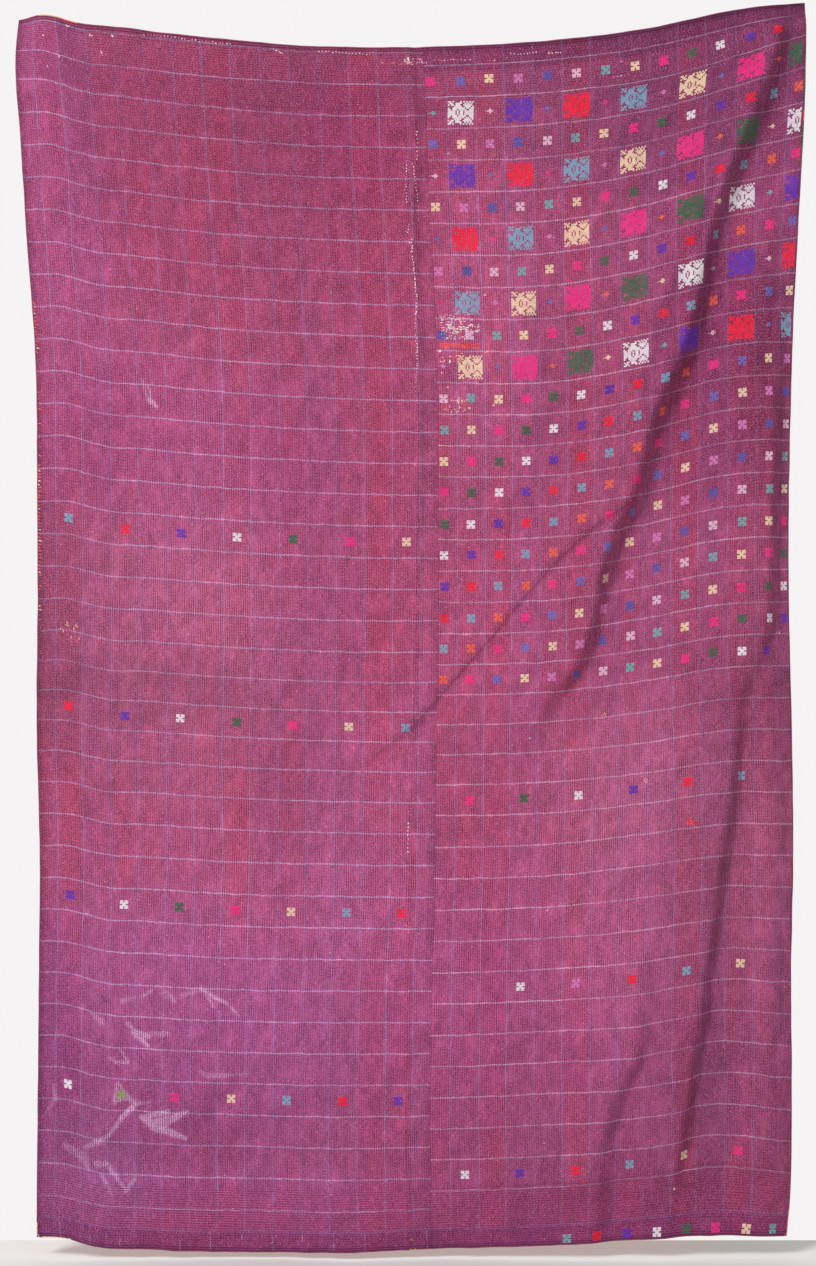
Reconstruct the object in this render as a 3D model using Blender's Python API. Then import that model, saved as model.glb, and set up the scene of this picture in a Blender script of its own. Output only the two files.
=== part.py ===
"""A kantha quilt, hanging by the corners of its top edge.

Three cut cloths make the quilt: two front panels, which meet at a vertical seam, and one
backing behind both. Running stitch holds them together, so all three follow one surface.
That surface is laid out in the cloth's own sizes: "across" runs from the left edge to the
right one, and "down" from the top edge to the bottom. The quilt's face looks along -Y, and
the origin is the middle of the top edge, where it sags lowest.
"""

from collections import namedtuple

import bmesh
import bpy
import numpy as np

# The cut cloths, in metres.
LEFT_WIDTH = 0.752
RIGHT_WIDTH = 0.701
WIDTH = LEFT_WIDTH + RIGHT_WIDTH
LENGTH = 2.222
FRONT_THICK = 0.0016
BACK_THICK = 0.0011
GAP = 0.0003

# The seam between the front panels: its gap, and how far the right panel's turned-under
# edge stands proud, dying away over SEAM_FADE.
SEAM_GAP = 0.0005
SEAM_RISE = 0.0012
SEAM_FADE = 0.016

# The stitched tuck in the left panel, beside the seam.
TUCK_RISE = 0.0025
TUCK_HALF = 0.010

# The cloth's grid. A row is one step down, a column one step across.
ROW_PITCH = 0.066
TOP_ROW = 0.022
LEFT_PITCH = 0.056
RIGHT_PITCH = 0.031
EDGE_STEPS = (0.016, 0.038, 0.068, 0.108)
FINE_PITCH = 0.004

# How the cloth turns back at its edges: how far, and over what width.
LEFT_CURL = 0.018
LEFT_CURL_WIDTH = 0.045
RIGHT_CURL = 0.008
RIGHT_CURL_WIDTH = 0.030
TOP_ROLL_LEFT = 0.014
TOP_ROLL_RIGHT = 0.030
TOP_ROLL_WIDTH = 0.060

# Low waves that run down the cloth, growing towards the bottom edge.
Wave = namedtuple("Wave", "length height phase slant")
WAVES = (
    Wave(length=0.47, height=0.0050, phase=0.4, slant=0.30),
    Wave(length=0.29, height=0.0028, phase=2.1, slant=-0.22),
)

# The hang of the cloth at stations down the seam. left, seam and right are the places of
# the panels' vertical edges, and the rest is how much higher than the seam the cloth lies
# at the SHARES of a panel's width from the seam, the left panel's being negative.
Station = namedtuple(
    "Station", "down left seam right rise_l rise_lm rise_r1 rise_r2 rise_r3 rise_r"
)
SHARES = np.array((-1.0, -0.62, 0.0, 0.36, 0.58, 0.80, 1.0))
STATIONS = (
    Station(0.000, -0.723, 0.023, 0.727, 0.054, 0.021, 0.013, 0.033, 0.065, 0.081),
    Station(0.080, -0.727, 0.025, 0.726, 0.068, 0.026, 0.009, 0.027, 0.067, 0.110),
    Station(0.210, -0.725, 0.026, 0.722, 0.067, 0.026, 0.007, 0.031, 0.072, 0.105),
    Station(0.400, -0.714, 0.036, 0.710, 0.063, 0.024, 0.005, 0.032, 0.072, 0.095),
    Station(0.640, -0.700, 0.044, 0.700, 0.058, 0.022, 0.005, 0.032, 0.070, 0.076),
    Station(0.860, -0.697, 0.045, 0.695, 0.053, 0.020, 0.009, 0.031, 0.063, 0.068),
    Station(1.060, -0.696, 0.045, 0.695, 0.047, 0.018, 0.009, 0.030, 0.056, 0.060),
    Station(1.300, -0.698, 0.042, 0.700, 0.040, 0.014, 0.012, 0.027, 0.050, 0.051),
    Station(1.520, -0.693, 0.039, 0.703, 0.034, 0.011, 0.011, 0.029, 0.049, 0.047),
    Station(1.750, -0.695, 0.033, 0.699, 0.030, 0.006, 0.009, 0.022, 0.047, 0.041),
    Station(2.000, -0.697, 0.030, 0.700, 0.027, 0.005, 0.009, 0.022, 0.046, 0.033),
    Station(2.150, -0.698, 0.032, 0.697, 0.021, 0.001, 0.010, 0.026, 0.043, 0.032),
    Station(LENGTH, -0.698, 0.033, 0.691, 0.018, -0.003, 0.009, 0.020, 0.028, 0.026),
)

# The tuck's distance from the seam.
Tuck = namedtuple("Tuck", "down from_seam")
TUCK = (
    Tuck(0.00, 0.034),
    Tuck(0.30, 0.039),
    Tuck(0.70, 0.054),
    Tuck(1.10, 0.055),
    Tuck(1.50, 0.048),
    Tuck(LENGTH, 0.044),
)

# The folds. A fold's path is given by its place across at each drop below the origin, with
# its strength there. Left of the path the cloth stands forward by crest, which dies away
# over crest_width, and right of it the cloth falls back by trough, over trough_width. The
# step between them is two half_drop wide.
Fold = namedtuple("Fold", "name crest crest_width trough trough_width half_drop path")
Mark = namedtuple("Mark", "drop x strength")
FOLDS = (
    Fold(
        "from the right corner",
        crest=0.011,
        crest_width=0.110,
        trough=0.024,
        trough_width=0.110,
        half_drop=0.024,
        path=(
            Mark(-0.04, 0.688, 0.5),
            Mark(0.15, 0.616, 0.9),
            Mark(0.30, 0.580, 1.0),
            Mark(0.50, 0.534, 1.0),
            Mark(0.63, 0.498, 1.0),
            Mark(0.78, 0.442, 1.0),
            Mark(0.98, 0.368, 0.8),
            Mark(1.13, 0.312, 0.55),
            Mark(1.26, 0.248, 0.3),
            Mark(1.42, 0.150, 0.0),
        ),
    ),
    Fold(
        "down the right side",
        crest=0.008,
        crest_width=0.060,
        trough=0.014,
        trough_width=0.070,
        half_drop=0.014,
        path=(
            Mark(0.50, 0.676, 0.0),
            Mark(0.68, 0.668, 0.6),
            Mark(0.84, 0.657, 0.9),
            Mark(1.06, 0.633, 1.0),
            Mark(1.21, 0.609, 1.0),
            Mark(1.35, 0.596, 1.0),
            Mark(1.52, 0.572, 0.9),
            Mark(1.67, 0.553, 0.9),
            Mark(1.84, 0.531, 0.9),
            Mark(1.98, 0.509, 0.8),
            Mark(2.12, 0.486, 0.3),
            Mark(2.24, 0.470, 0.1),
        ),
    ),
    Fold(
        "crease across the middle",
        crest=0.004,
        crest_width=0.045,
        trough=0.004,
        trough_width=0.045,
        half_drop=0.006,
        path=(
            Mark(0.82, 0.410, 0.0),
            Mark(0.90, 0.325, 0.8),
            Mark(1.07, 0.161, 1.0),
            Mark(1.21, 0.031, 0.8),
            Mark(1.37, -0.154, 0.0),
        ),
    ),
    Fold(
        "low on the right",
        crest=0.007,
        crest_width=0.060,
        trough=0.009,
        trough_width=0.070,
        half_drop=0.018,
        path=(
            Mark(1.62, 0.445, 0.0),
            Mark(1.75, 0.434, 0.7),
            Mark(1.87, 0.418, 0.9),
            Mark(1.97, 0.372, 1.0),
            Mark(2.09, 0.355, 1.0),
            Mark(2.24, 0.345, 0.5),
        ),
    ),
    Fold(
        "ridge from the left corner",
        crest=0.008,
        crest_width=0.130,
        trough=0.002,
        trough_width=0.200,
        half_drop=0.060,
        path=(
            Mark(-0.06, -0.681, 0.5),
            Mark(0.37, -0.487, 1.0),
            Mark(0.80, -0.209, 0.8),
            Mark(1.10, 0.060, 0.0),
        ),
    ),
)

# Colours of the cloths as red, green and blue, in linear light.
PLUM = (0.380, 0.085, 0.195)
RUST = (0.520, 0.150, 0.050)
CLOTH_ROUGHNESS = 0.85


def clear_scene():
    for old in list(bpy.data.objects):
        bpy.data.objects.remove(old)


def column(rows, name):
    """One named column of a table, as an array."""
    return np.array([getattr(row, name) for row in rows])


def curve(at, knots, values):
    """A smooth curve through the values at the knots, read at the given places."""
    slopes = np.gradient(values, knots)
    start = np.clip(np.searchsorted(knots, at) - 1, 0, len(knots) - 2)
    span = knots[start + 1] - knots[start]
    share = np.clip((at - knots[start]) / span, 0.0, 1.0)
    leave = share * (1.0 - share) ** 2 * span * slopes[start]
    arrive = share**2 * (share - 1.0) * span * slopes[start + 1]
    step = share**2 * (3.0 - 2.0 * share)
    return values[start] * (1.0 - step) + values[start + 1] * step + leave + arrive


def smooth_step(low, high, at):
    share = np.clip((at - low) / (high - low), 0.0, 1.0)
    return share**2 * (3.0 - 2.0 * share)


def bump(distance, width):
    return np.exp(-((distance / width) ** 2))


def rise(across, down):
    """How much higher the cloth lies than it does at the seam, as its corners are held up."""
    names = ("rise_l", "rise_lm", None, "rise_r1", "rise_r2", "rise_r3", "rise_r")
    stations = column(STATIONS, "down")
    heights = np.array(
        [curve(down, stations, column(STATIONS, n)) if n else 0.0 for n in names]
    )
    from_seam = across - LEFT_WIDTH
    share = np.where(from_seam < 0, from_seam / LEFT_WIDTH, from_seam / RIGHT_WIDTH)
    return curve(share, SHARES, heights)


def fold_depth(fold, x, drop):
    """How far one fold pushes the cloth forward at a place on the hanging quilt."""
    drops = column(fold.path, "drop")
    path_x = curve(drop, drops, column(fold.path, "x"))
    slope = np.interp(drop, drops, np.gradient(column(fold.path, "x"), drops))
    strength = np.interp(drop, drops, column(fold.path, "strength"))
    inside = (drop > drops[0]) & (drop < drops[-1])
    away = (x - path_x) / np.sqrt(1.0 + slope**2)
    over = smooth_step(-fold.half_drop, fold.half_drop, away)
    before = fold.crest * bump(np.minimum(away + fold.half_drop, 0.0), fold.crest_width)
    after = fold.trough * bump(np.maximum(away - fold.half_drop, 0.0), fold.trough_width)
    return strength * inside * (before * (1.0 - over) - after * over)


def tuck_place(down):
    return LEFT_WIDTH - np.interp(down, column(TUCK, "down"), column(TUCK, "from_seam"))


def forward(x, drop, across, down):
    """How far the cloth stands forward of the plane that it hangs in."""
    depth = sum(fold_depth(fold, x, drop) for fold in FOLDS)
    for wave in WAVES:
        turn = 2.0 * np.pi * (x + wave.slant * drop) / wave.length + wave.phase
        depth = depth + wave.height * np.clip(drop, 0.0, LENGTH) / LENGTH * np.sin(turn)
    depth = depth - LEFT_CURL * bump(across, LEFT_CURL_WIDTH)
    depth = depth - RIGHT_CURL * bump(WIDTH - across, RIGHT_CURL_WIDTH)
    share = (across - LEFT_WIDTH) / WIDTH
    roll = np.where(share < 0, TOP_ROLL_LEFT, TOP_ROLL_RIGHT) * (2.0 * share) ** 2
    depth = depth - roll * bump(down, TOP_ROLL_WIDTH)
    tuck = smooth_step(TUCK_HALF, 0.0, np.abs(across - tuck_place(down)))
    return depth + TUCK_RISE * tuck


def hang_row(down):
    """One row of the cloth in fine steps: their places across, and their points."""
    left_side = np.linspace(0.0, LEFT_WIDTH, round(LEFT_WIDTH / FINE_PITCH))
    right_side = np.linspace(LEFT_WIDTH, WIDTH, round(RIGHT_WIDTH / FINE_PITCH))
    across = np.append(left_side, right_side[1:])
    stations = column(STATIONS, "down")
    left, seam, right = (
        curve(down, stations, column(STATIONS, name)) for name in ("left", "seam", "right")
    )
    z = rise(across, down) - down
    x = np.interp(across, (0.0, LEFT_WIDTH, WIDTH), (left, seam, right))
    depth = forward(x, -z, across, down)
    # Cloth that runs back and forth takes up less of the width.
    steps = np.diff(across) / np.sqrt(1.0 + np.gradient(depth, x)[1:] ** 2)
    run = np.concatenate([(0.0,), np.cumsum(steps)])
    at_seam = np.interp(LEFT_WIDTH, across, run)
    x = np.interp(run, (0.0, at_seam, run[-1]), (left, seam, right))
    depth = forward(x, -z, across, down)
    return across, np.stack([x, -depth, z], axis=1)


def grid_rows():
    """The rows' places down: a close one under the top edge, then even steps."""
    count = round((LENGTH - TOP_ROW) / ROW_PITCH)
    return np.append(0.0, np.linspace(TOP_ROW, LENGTH, count + 1))


def left_columns(down):
    """The left panel's columns at one row: close at its edge and along the tuck."""
    tuck = tuck_place(down)
    start = EDGE_STEPS[-1]
    stop = tuck - TUCK_HALF
    even = np.linspace(start, stop, round((LEFT_WIDTH - start) / LEFT_PITCH))
    close = (tuck, tuck + TUCK_HALF)
    return np.concatenate([(0.0,), EDGE_STEPS[:-1], even, close, (LEFT_WIDTH,)])


def right_columns():
    """The right panel's columns: even but for a close one at its seam and at its edge."""
    start = LEFT_WIDTH + SEAM_FADE
    stop = WIDTH - EDGE_STEPS[0]
    even = np.linspace(start, stop, round((stop - start) / RIGHT_PITCH) + 1)
    return np.concatenate([(LEFT_WIDTH,), even, (WIDTH,)])


def all_columns(down):
    return np.concatenate([left_columns(down), right_columns()[1:]])


def hang_grid():
    """The grid's places across, its points and the cloth's normals, by row and column."""
    rows = grid_rows()
    across = np.array([all_columns(down) for down in rows])
    points = np.zeros(across.shape + (3,))
    for number, down in enumerate(rows):
        fine, row = hang_row(down)
        for axis in range(3):
            points[number, :, axis] = np.interp(across[number], fine, row[:, axis])
    along = np.gradient(points, axis=0)
    side = np.gradient(points, axis=1)
    normals = np.cross(along, side)
    normals /= np.linalg.norm(normals, axis=2, keepdims=True)
    return across, points, normals


def cloth_mesh(name, points, normals, near, far):
    """A closed cloth between two offsets in front of the hung surface.

    A flat grid is made and extruded, which gives the cloth its two faces and its rim, and
    then each point goes to its place. near and far are arrays of row and column.
    """
    row_count, column_count = near.shape
    bm = bmesh.new()
    bmesh.ops.create_grid(
        bm, x_segments=column_count - 1, y_segments=row_count - 1, size=0.5
    )
    made = bmesh.ops.extrude_face_region(bm, geom=bm.faces[:], use_keep_orig=True)
    front = {v for v in made["geom"] if isinstance(v, bmesh.types.BMVert)}
    for vert in bm.verts:
        col = round((vert.co.x + 0.5) * (column_count - 1))
        row = round((0.5 - vert.co.y) * (row_count - 1))
        offset = far[row, col] if vert in front else near[row, col]
        vert.co = points[row, col] + normals[row, col] * offset
    bmesh.ops.triangulate(bm, faces=bm.faces[:], quad_method="FIXED")
    bmesh.ops.recalc_face_normals(bm, faces=bm.faces[:])
    mesh = bpy.data.meshes.new(name)
    bm.to_mesh(mesh)
    bm.free()
    return mesh


def cloth_material(name, colour):
    material = bpy.data.materials.new(name)
    material.use_nodes = True
    shader = material.node_tree.nodes["Principled BSDF"]
    shader.inputs["Base Color"].default_value = (*colour, 1.0)
    shader.inputs["Roughness"].default_value = CLOTH_ROUGHNESS
    shader.inputs["Metallic"].default_value = 0.0
    return material


def add_cloth(name, mesh, material):
    mesh.materials.append(material)
    cloth = bpy.data.objects.new(name, mesh)
    bpy.context.scene.collection.objects.link(cloth)
    return cloth


def part_at_seam(points, seam, inner):
    """Moves the column at the seam half the seam's gap towards the one inside its panel."""
    into = points[:, inner] - points[:, seam]
    length = np.linalg.norm(into, axis=1, keepdims=True)
    points[:, seam] += into / length * SEAM_GAP / 2


def front_panel_left(material):
    across, points, normals = hang_grid()
    own = slice(None, left_columns(0.0).size)
    across, points, normals = across[:, own], points[:, own], normals[:, own]
    part_at_seam(points, seam=-1, inner=-2)
    near = np.full(across.shape, GAP / 2)
    far = near + FRONT_THICK
    mesh = cloth_mesh("front_panel_left", points, normals, near, far)
    return add_cloth("front_panel_left", mesh, material)


def front_panel_right(material):
    across, points, normals = hang_grid()
    own = slice(left_columns(0.0).size - 1, None)
    across, points, normals = across[:, own], points[:, own], normals[:, own]
    part_at_seam(points, seam=0, inner=1)
    near = np.full(across.shape, GAP / 2)
    proud = SEAM_RISE * smooth_step(SEAM_FADE, 0.0, across - LEFT_WIDTH)
    far = near + FRONT_THICK + proud
    mesh = cloth_mesh("front_panel_right", points, normals, near, far)
    return add_cloth("front_panel_right", mesh, material)


def backing(material):
    across, points, normals = hang_grid()
    far = np.full(across.shape, -GAP / 2)
    mesh = cloth_mesh("backing", points, normals, far - BACK_THICK, far)
    return add_cloth("backing", mesh, material)


def main():
    clear_scene()
    plum = cloth_material("plum cotton", PLUM)
    front_panel_left(plum)
    front_panel_right(plum)
    backing(cloth_material("rust cotton", RUST))


main()
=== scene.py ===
"""Dresses the packed kantha quilt: its cloths, checks, stitching and woven motifs.

Everything on the quilt is laid out flat first, in the cloth's own sizes, and then hung. On
the flat cloth x runs across from the left edge, y is 0 at the top edge and falls below it,
and z stands out from the cloth. Hanging takes each point to its place on the folded quilt,
whose face looks along -Y. All sizes are metres.
"""

import math
from collections import namedtuple

import bmesh
import bpy
import numpy as np
from bpy.props import FloatProperty, FloatVectorProperty, IntProperty, PointerProperty
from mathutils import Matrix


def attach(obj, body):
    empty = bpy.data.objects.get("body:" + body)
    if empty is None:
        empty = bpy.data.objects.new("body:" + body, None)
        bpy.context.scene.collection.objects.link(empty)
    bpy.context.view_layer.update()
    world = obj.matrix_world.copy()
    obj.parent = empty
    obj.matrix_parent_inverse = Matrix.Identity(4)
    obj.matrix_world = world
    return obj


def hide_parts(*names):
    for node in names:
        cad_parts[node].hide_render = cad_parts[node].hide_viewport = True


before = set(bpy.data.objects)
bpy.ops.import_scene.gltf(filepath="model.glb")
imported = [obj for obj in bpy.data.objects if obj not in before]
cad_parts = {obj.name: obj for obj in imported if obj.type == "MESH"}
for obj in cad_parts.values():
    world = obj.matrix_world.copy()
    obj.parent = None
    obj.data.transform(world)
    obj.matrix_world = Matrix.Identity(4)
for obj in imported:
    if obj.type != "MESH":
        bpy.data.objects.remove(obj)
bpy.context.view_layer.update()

bl_info = {
    "name": "Kantha Quilt",
    "version": (1, 0, 0),
    "blender": (4, 5, 0),
    "location": "View3D > Sidebar > Quilt",
    "description": "Builds a hanging kantha quilt with its stitching and woven motifs",
    "category": "Object",
}

TURN = 2.0 * math.pi


def shade(red, green, blue):
    """A colour given as screen values from 0 to 255, in linear light."""
    return tuple((value / 255) ** 2.2 for value in (red, green, blue))


# ---- The cut cloths, as the packed solids have them ----

LEFT_WIDTH = 0.752
RIGHT_WIDTH = 0.701
WIDTH = LEFT_WIDTH + RIGHT_WIDTH
LENGTH = 2.222
FRONT_THICK = 0.0016
BACK_THICK = 0.0011
GAP = 0.0003
SEAM_FADE = 0.016
TUCK_RISE = 0.0025
TUCK_HALF = 0.010
LEFT_CURL = 0.018
LEFT_CURL_WIDTH = 0.045
RIGHT_CURL_TOP = 0.008
RIGHT_CURL = 0.016
RIGHT_CURL_WIDTH = 0.040
TOP_ROLL_LEFT = 0.014
TOP_ROLL_RIGHT = 0.030
TOP_ROLL_WIDTH = 0.060

Wave = namedtuple("Wave", "length height phase slant")
WAVES = (
    Wave(length=0.47, height=0.0050, phase=0.4, slant=0.30),
    Wave(length=0.29, height=0.0028, phase=2.1, slant=-0.22),
)

# Tables below hold whole numbers: each column counts parts of a metre or of one.


def named_rows(kind, parts, *numbers):
    """Named rows from a run of numbers, each divided by its column's parts where it has some."""
    wide = len(parts)
    return tuple(
        kind(*(n / part if part else n for n, part in zip(numbers[i : i + wide], parts)))
        for i in range(0, len(numbers), wide)
    )


# The hang of the cloth at stations down the seam: the places of the panels' vertical
# edges, and how much higher than the seam the cloth lies at the SHARES of a panel's width.
Station = namedtuple(
    "Station", "down left seam right rise_l rise_lm rise_r1 rise_r2 rise_r3 rise_r"
)
SHARES = np.array((-1.0, -0.62, 0.0, 0.36, 0.58, 0.80, 1.0))
STATIONS = named_rows(
    Station,
    [1000] * 10,
    0, -723, 23, 727, 54, 21, 13, 33, 65, 81,
    80, -727, 25, 726, 68, 26, 9, 27, 67, 110,
    210, -725, 26, 722, 67, 26, 7, 31, 72, 105,
    400, -714, 36, 710, 63, 24, 5, 32, 72, 95,
    640, -700, 44, 700, 58, 22, 5, 32, 70, 76,
    860, -697, 45, 695, 53, 20, 9, 31, 63, 68,
    1060, -696, 45, 695, 47, 18, 9, 30, 56, 60,
    1300, -698, 42, 700, 40, 14, 12, 27, 50, 51,
    1520, -693, 39, 703, 34, 11, 11, 29, 49, 47,
    1750, -695, 33, 699, 30, 6, 9, 22, 47, 41,
    2000, -697, 30, 700, 27, 5, 9, 22, 46, 33,
    2150, -698, 32, 697, 21, 1, 10, 26, 43, 32,
    2222, -698, 33, 691, 18, -3, 9, 20, 28, 26,
)

# The tuck beside the seam.
Tuck = namedtuple("Tuck", "down from_seam")
TUCK = named_rows(
    Tuck,
    [1000] * 2,
    0, 26, 150, 18, 210, 20, 370, 35, 470, 29, 650, 35, 1000, 40, 1480, 49, 2222, 44,
)

# A fold steps back from crest to trough across its path, which is given by its place
# across at each drop, with its strength there.
Fold = namedtuple("Fold", "crest crest_width trough trough_width half_drop path")
Mark = namedtuple("Mark", "drop x strength")


def marks(*numbers):
    """A path's marks: drop and place across in millimetres, and strength in hundredths."""
    return named_rows(Mark, (1000, 1000, 100), *numbers)


FOLDS = (
    # From the right corner.
    Fold(
        0.011, 0.11, 0.024, 0.11, 0.016,
        marks(
            -100, 700, 0, -40, 692, 50, 150, 627, 90, 257, 583, 100, 372, 550, 100,
            483, 531, 100, 583, 498, 100, 646, 470, 100, 688, 452, 100, 760, 435, 100,
            834, 409, 100, 888, 385, 95, 982, 355, 80, 1071, 335, 65, 1140, 313, 55,
            1200, 266, 40, 1320, 210, 0,
        ),
    ),
    # Down the right side.
    Fold(
        0.008, 0.06, 0.014, 0.07, 0.014,
        marks(
            500, 683, 0, 620, 681, 20, 720, 679, 40, 870, 671, 50, 980, 668, 50,
            1100, 650, 50, 1210, 609, 60, 1350, 596, 90, 1520, 572, 100, 1670, 553, 90,
            1840, 531, 90, 1980, 509, 80, 2120, 486, 30, 2240, 470, 10,
        ),
    ),
    # Crease across the middle.
    Fold(
        0.0025, 0.045, 0.0025, 0.045, 0.006,
        marks(
            790, 462, 0, 829, 420, 80, 873, 353, 100, 955, 264, 100, 1021, 205, 100,
            1117, 124, 100, 1199, 50, 100, 1251, 6, 90, 1310, -68, 60, 1362, -135, 0,
        ),
    ),
    # Low on the right.
    Fold(
        0.007, 0.06, 0.009, 0.07, 0.018,
        marks(
            1620, 445, 0, 1750, 434, 70, 1870, 418, 90, 1970, 372, 100, 2090, 355, 100,
            2240, 345, 50,
        ),
    ),
    # Ridge from the left corner.
    Fold(
        0.008, 0.13, 0.002, 0.2, 0.06,
        marks(
            -60, -681, 50, 370, -487, 100, 800, -209, 80, 1100, 60, 0,
        ),
    ),
)

# Creases too narrow for the solids: a trough of depth, or a ridge where that is negative,
# over width, along a path like a fold's.
Crease = namedtuple("Crease", "depth width path")
CREASES = (
    Crease(0.0022, 0.011, marks(100, 462, 0, 190, 437, 100, 310, 372, 0)),  # Short, by the right corner
    # Beside the long fold
    Crease(
        0.0034, 0.014,
        marks(
            260, 545, 0, 360, 520, 70, 540, 472, 100, 700, 388, 0,
        ),
    ),
    # Sharp, on the long fold
    Crease(
        0.004, 0.008,
        marks(
            130, 590, 0, 190, 572, 80, 280, 551, 100, 345, 536, 100, 400, 529, 100,
            460, 526, 70, 520, 517, 0,
        ),
    ),
    # Middle crease's line
    Crease(
        0.0009, 0.008,
        marks(
            829, 420, 0, 873, 353, 90, 955, 264, 100, 1117, 124, 100, 1251, 6, 100,
            1310, -68, 50, 1362, -135, 0,
        ),
    ),
    Crease(0.0026, 0.012, marks(1330, -592, 0, 1500, -597, 100, 1760, -599, 0)),  # Low on the left
    Crease(0.003, 0.016, marks(1880, -363, 0, 2040, -358, 100, 2180, -353, 20)),  # At the left hem
    Crease(0.0026, 0.016, marks(-60, -690, 60, 30, -672, 100, 200, -640, 0)),  # Left grip, steep
    Crease(0.0024, 0.016, marks(-50, -672, 60, 30, -600, 100, 140, -500, 0)),  # Left grip, middle
    Crease(0.002, 0.016, marks(-40, -660, 50, 10, -560, 100, 60, -420, 0)),  # Left grip, flat
    Crease(0.0026, 0.016, marks(-80, 694, 50, 50, 690, 100, 260, 668, 0)),  # Right grip, steep
    Crease(0.0024, 0.016, marks(-70, 680, 50, 0, 640, 100, 140, 560, 0)),  # Right grip, middle
    Crease(0.002, 0.016, marks(-70, 660, 50, -40, 590, 100, 0, 470, 0)),  # Right grip, flat
    Crease(0.002, 0.014, marks(960, 300, 0, 1100, 205, 100, 1300, 80, 0)),  # Fan below the middle
    Crease(0.0024, 0.016, marks(1500, 640, 0, 1720, 622, 100, 2020, 604, 0)),  # Low by the right side
    Crease(0.0028, 0.014, marks(200, 690, 0, 460, 672, 100, 740, 650, 0)),  # Pull along the right edge
)

# The valley that runs beside the seam, in its top half.
VALLEY_DEPTH = 0.0040
VALLEY_WIDTH = 0.012
VALLEY_FROM_SEAM = 0.014
VALLEY_END = 0.95

# The right panel's turned-under edge stands a little proud at the seam.
SEAM_PROUD = 0.0005

# Level threads run straight in from the left edge before they drop.
LEFT_LIFT = 0.0065
LEFT_LIFT_PLACE = 0.055
LEFT_LIFT_WIDTH = 0.040
LEFT_DROP = 0.0040
LEFT_DROP_PLACE = 0.145
LEFT_DROP_WIDTH = 0.040

# How the cloth is pulled out of true by its grips and its own weight, in millimetres: the
# place down, and how far the cloth lies to the right, or up, at DRIFT_PLACES across.
DRIFT_PLACES = np.array((0.0, 0.09, 0.30, 0.53, LEFT_WIDTH, 1.05, 1.25, 1.38, WIDTH))
DRIFT_RIGHT = np.array(
    (
        (0, -11, -28, -22, -13, -5, 3, 6, 8, 4),
        (100, -10, -14, -14, -8, -2, 1, 3, 6, 5),
        (220, -4, -4, -9, -4, 0, 0, 1, 7, 6),
        (400, -3, -2, -5, -1, 0, 1, 4, 11, 6),
        (620, 0, 0, 0, 0, 1, 5, 11, 16, 4),
        (800, 0, 0, 0, 0, 1, 5, 10, 16, 4),
        (1000, 0, 0, 0, 0, 1, 4, 8, 14, 3),
        (1120, 0, 0, 0, 0, 1, 4, 8, 14, 3),
        (1230, 0, 0, 0, 0, 1, 4, 8, 13, 3),
        (1350, 0, 0, -1, 0, 1, 4, 7, 12, 3),
        (1600, 0, -1, -3, -1, 1, 4, 7, 12, 3),
        (2000, 0, -2, -6, -3, 1, 6, 8, 12, 3),
        (2222, 0, -2, -6, -3, 1, 6, 8, 12, 3),
    )
)
DRIFT_UP = np.array(
    (
        (0, 4, 16, 8, 0, 1, 4, 7, 11, 13),
        (50, 0, 1, -1, -2, 0, 5, 8, 10, 11),
        (100, 0, 0, -2, -3, 0, 5, 7, 9, 10),
        (220, -2, -2, -2, -3, -1, 3, 4, 6, 7),
        (400, -5, -5, -4, -3, -3, -1, -1, 0, 0),
        (620, -8, -8, -7, -6, -7, -8, -8, -7, -7),
        (800, -12, -11, -10, -8, -8, -11, -10, -9, -9),
        (1000, -16, -15, -12, -10, -9, -11, -10, -9, -9),
        (1120, -15, -14, -12, -11, -9, -11, -10, -9, -9),
        (1230, -6, -6, -5, -4, -5, -9, -8, -7, -7),
        (1350, 0, 0, 1, 2, 0, -5, -5, -6, -6),
        (1600, 0, 0, 0, 1, 0, -3, -4, -5, -5),
        (2000, 0, 0, 0, 0, 0, -1, -1, -2, -2),
        (2222, 0, 0, 0, 0, 0, 0, -2, -5, -6),
    )
)

# Unevenness that the stitching leaves all over.
RIPPLE_COUNT = 26
RIPPLE_HEIGHT = 0.00042
RIPPLE_LENGTHS = (0.026, 0.100)
RIPPLE_SEED = 11


# ---- How the flat cloth hangs ----


def column(rows, name):
    """One named column of a table, as an array."""
    return np.array([getattr(row, name) for row in rows])


def curve(at, knots, values):
    """A smooth curve through the values at the knots, read at the given places."""
    slopes = np.gradient(values, knots)
    start = np.clip(np.searchsorted(knots, at) - 1, 0, len(knots) - 2)
    span = knots[start + 1] - knots[start]
    share = np.clip((at - knots[start]) / span, 0.0, 1.0)
    leave = share * (1.0 - share) ** 2 * span * slopes[start]
    arrive = share**2 * (share - 1.0) * span * slopes[start + 1]
    step = share**2 * (3.0 - 2.0 * share)
    return values[start] * (1.0 - step) + values[start + 1] * step + leave + arrive


def smooth_step(low, high, at):
    share = np.clip((at - low) / (high - low), 0.0, 1.0)
    return share**2 * (3.0 - 2.0 * share)


def bump(distance, width):
    return np.exp(-((distance / width) ** 2))


def rise(across, down):
    """How much higher the cloth lies than it does at the seam, as its corners are held up."""
    names = ("rise_l", "rise_lm", None, "rise_r1", "rise_r2", "rise_r3", "rise_r")
    stations = column(STATIONS, "down")
    heights = np.array(
        [curve(down, stations, column(STATIONS, n)) if n else 0.0 for n in names]
    )
    from_seam = across - LEFT_WIDTH
    share = np.where(from_seam < 0, from_seam / LEFT_WIDTH, from_seam / RIGHT_WIDTH)
    lift = LEFT_LIFT * bump(across - LEFT_LIFT_PLACE, LEFT_LIFT_WIDTH)
    drop = LEFT_DROP * bump(across - LEFT_DROP_PLACE, LEFT_DROP_WIDTH)
    return curve(share, SHARES, heights) + lift - drop


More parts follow.
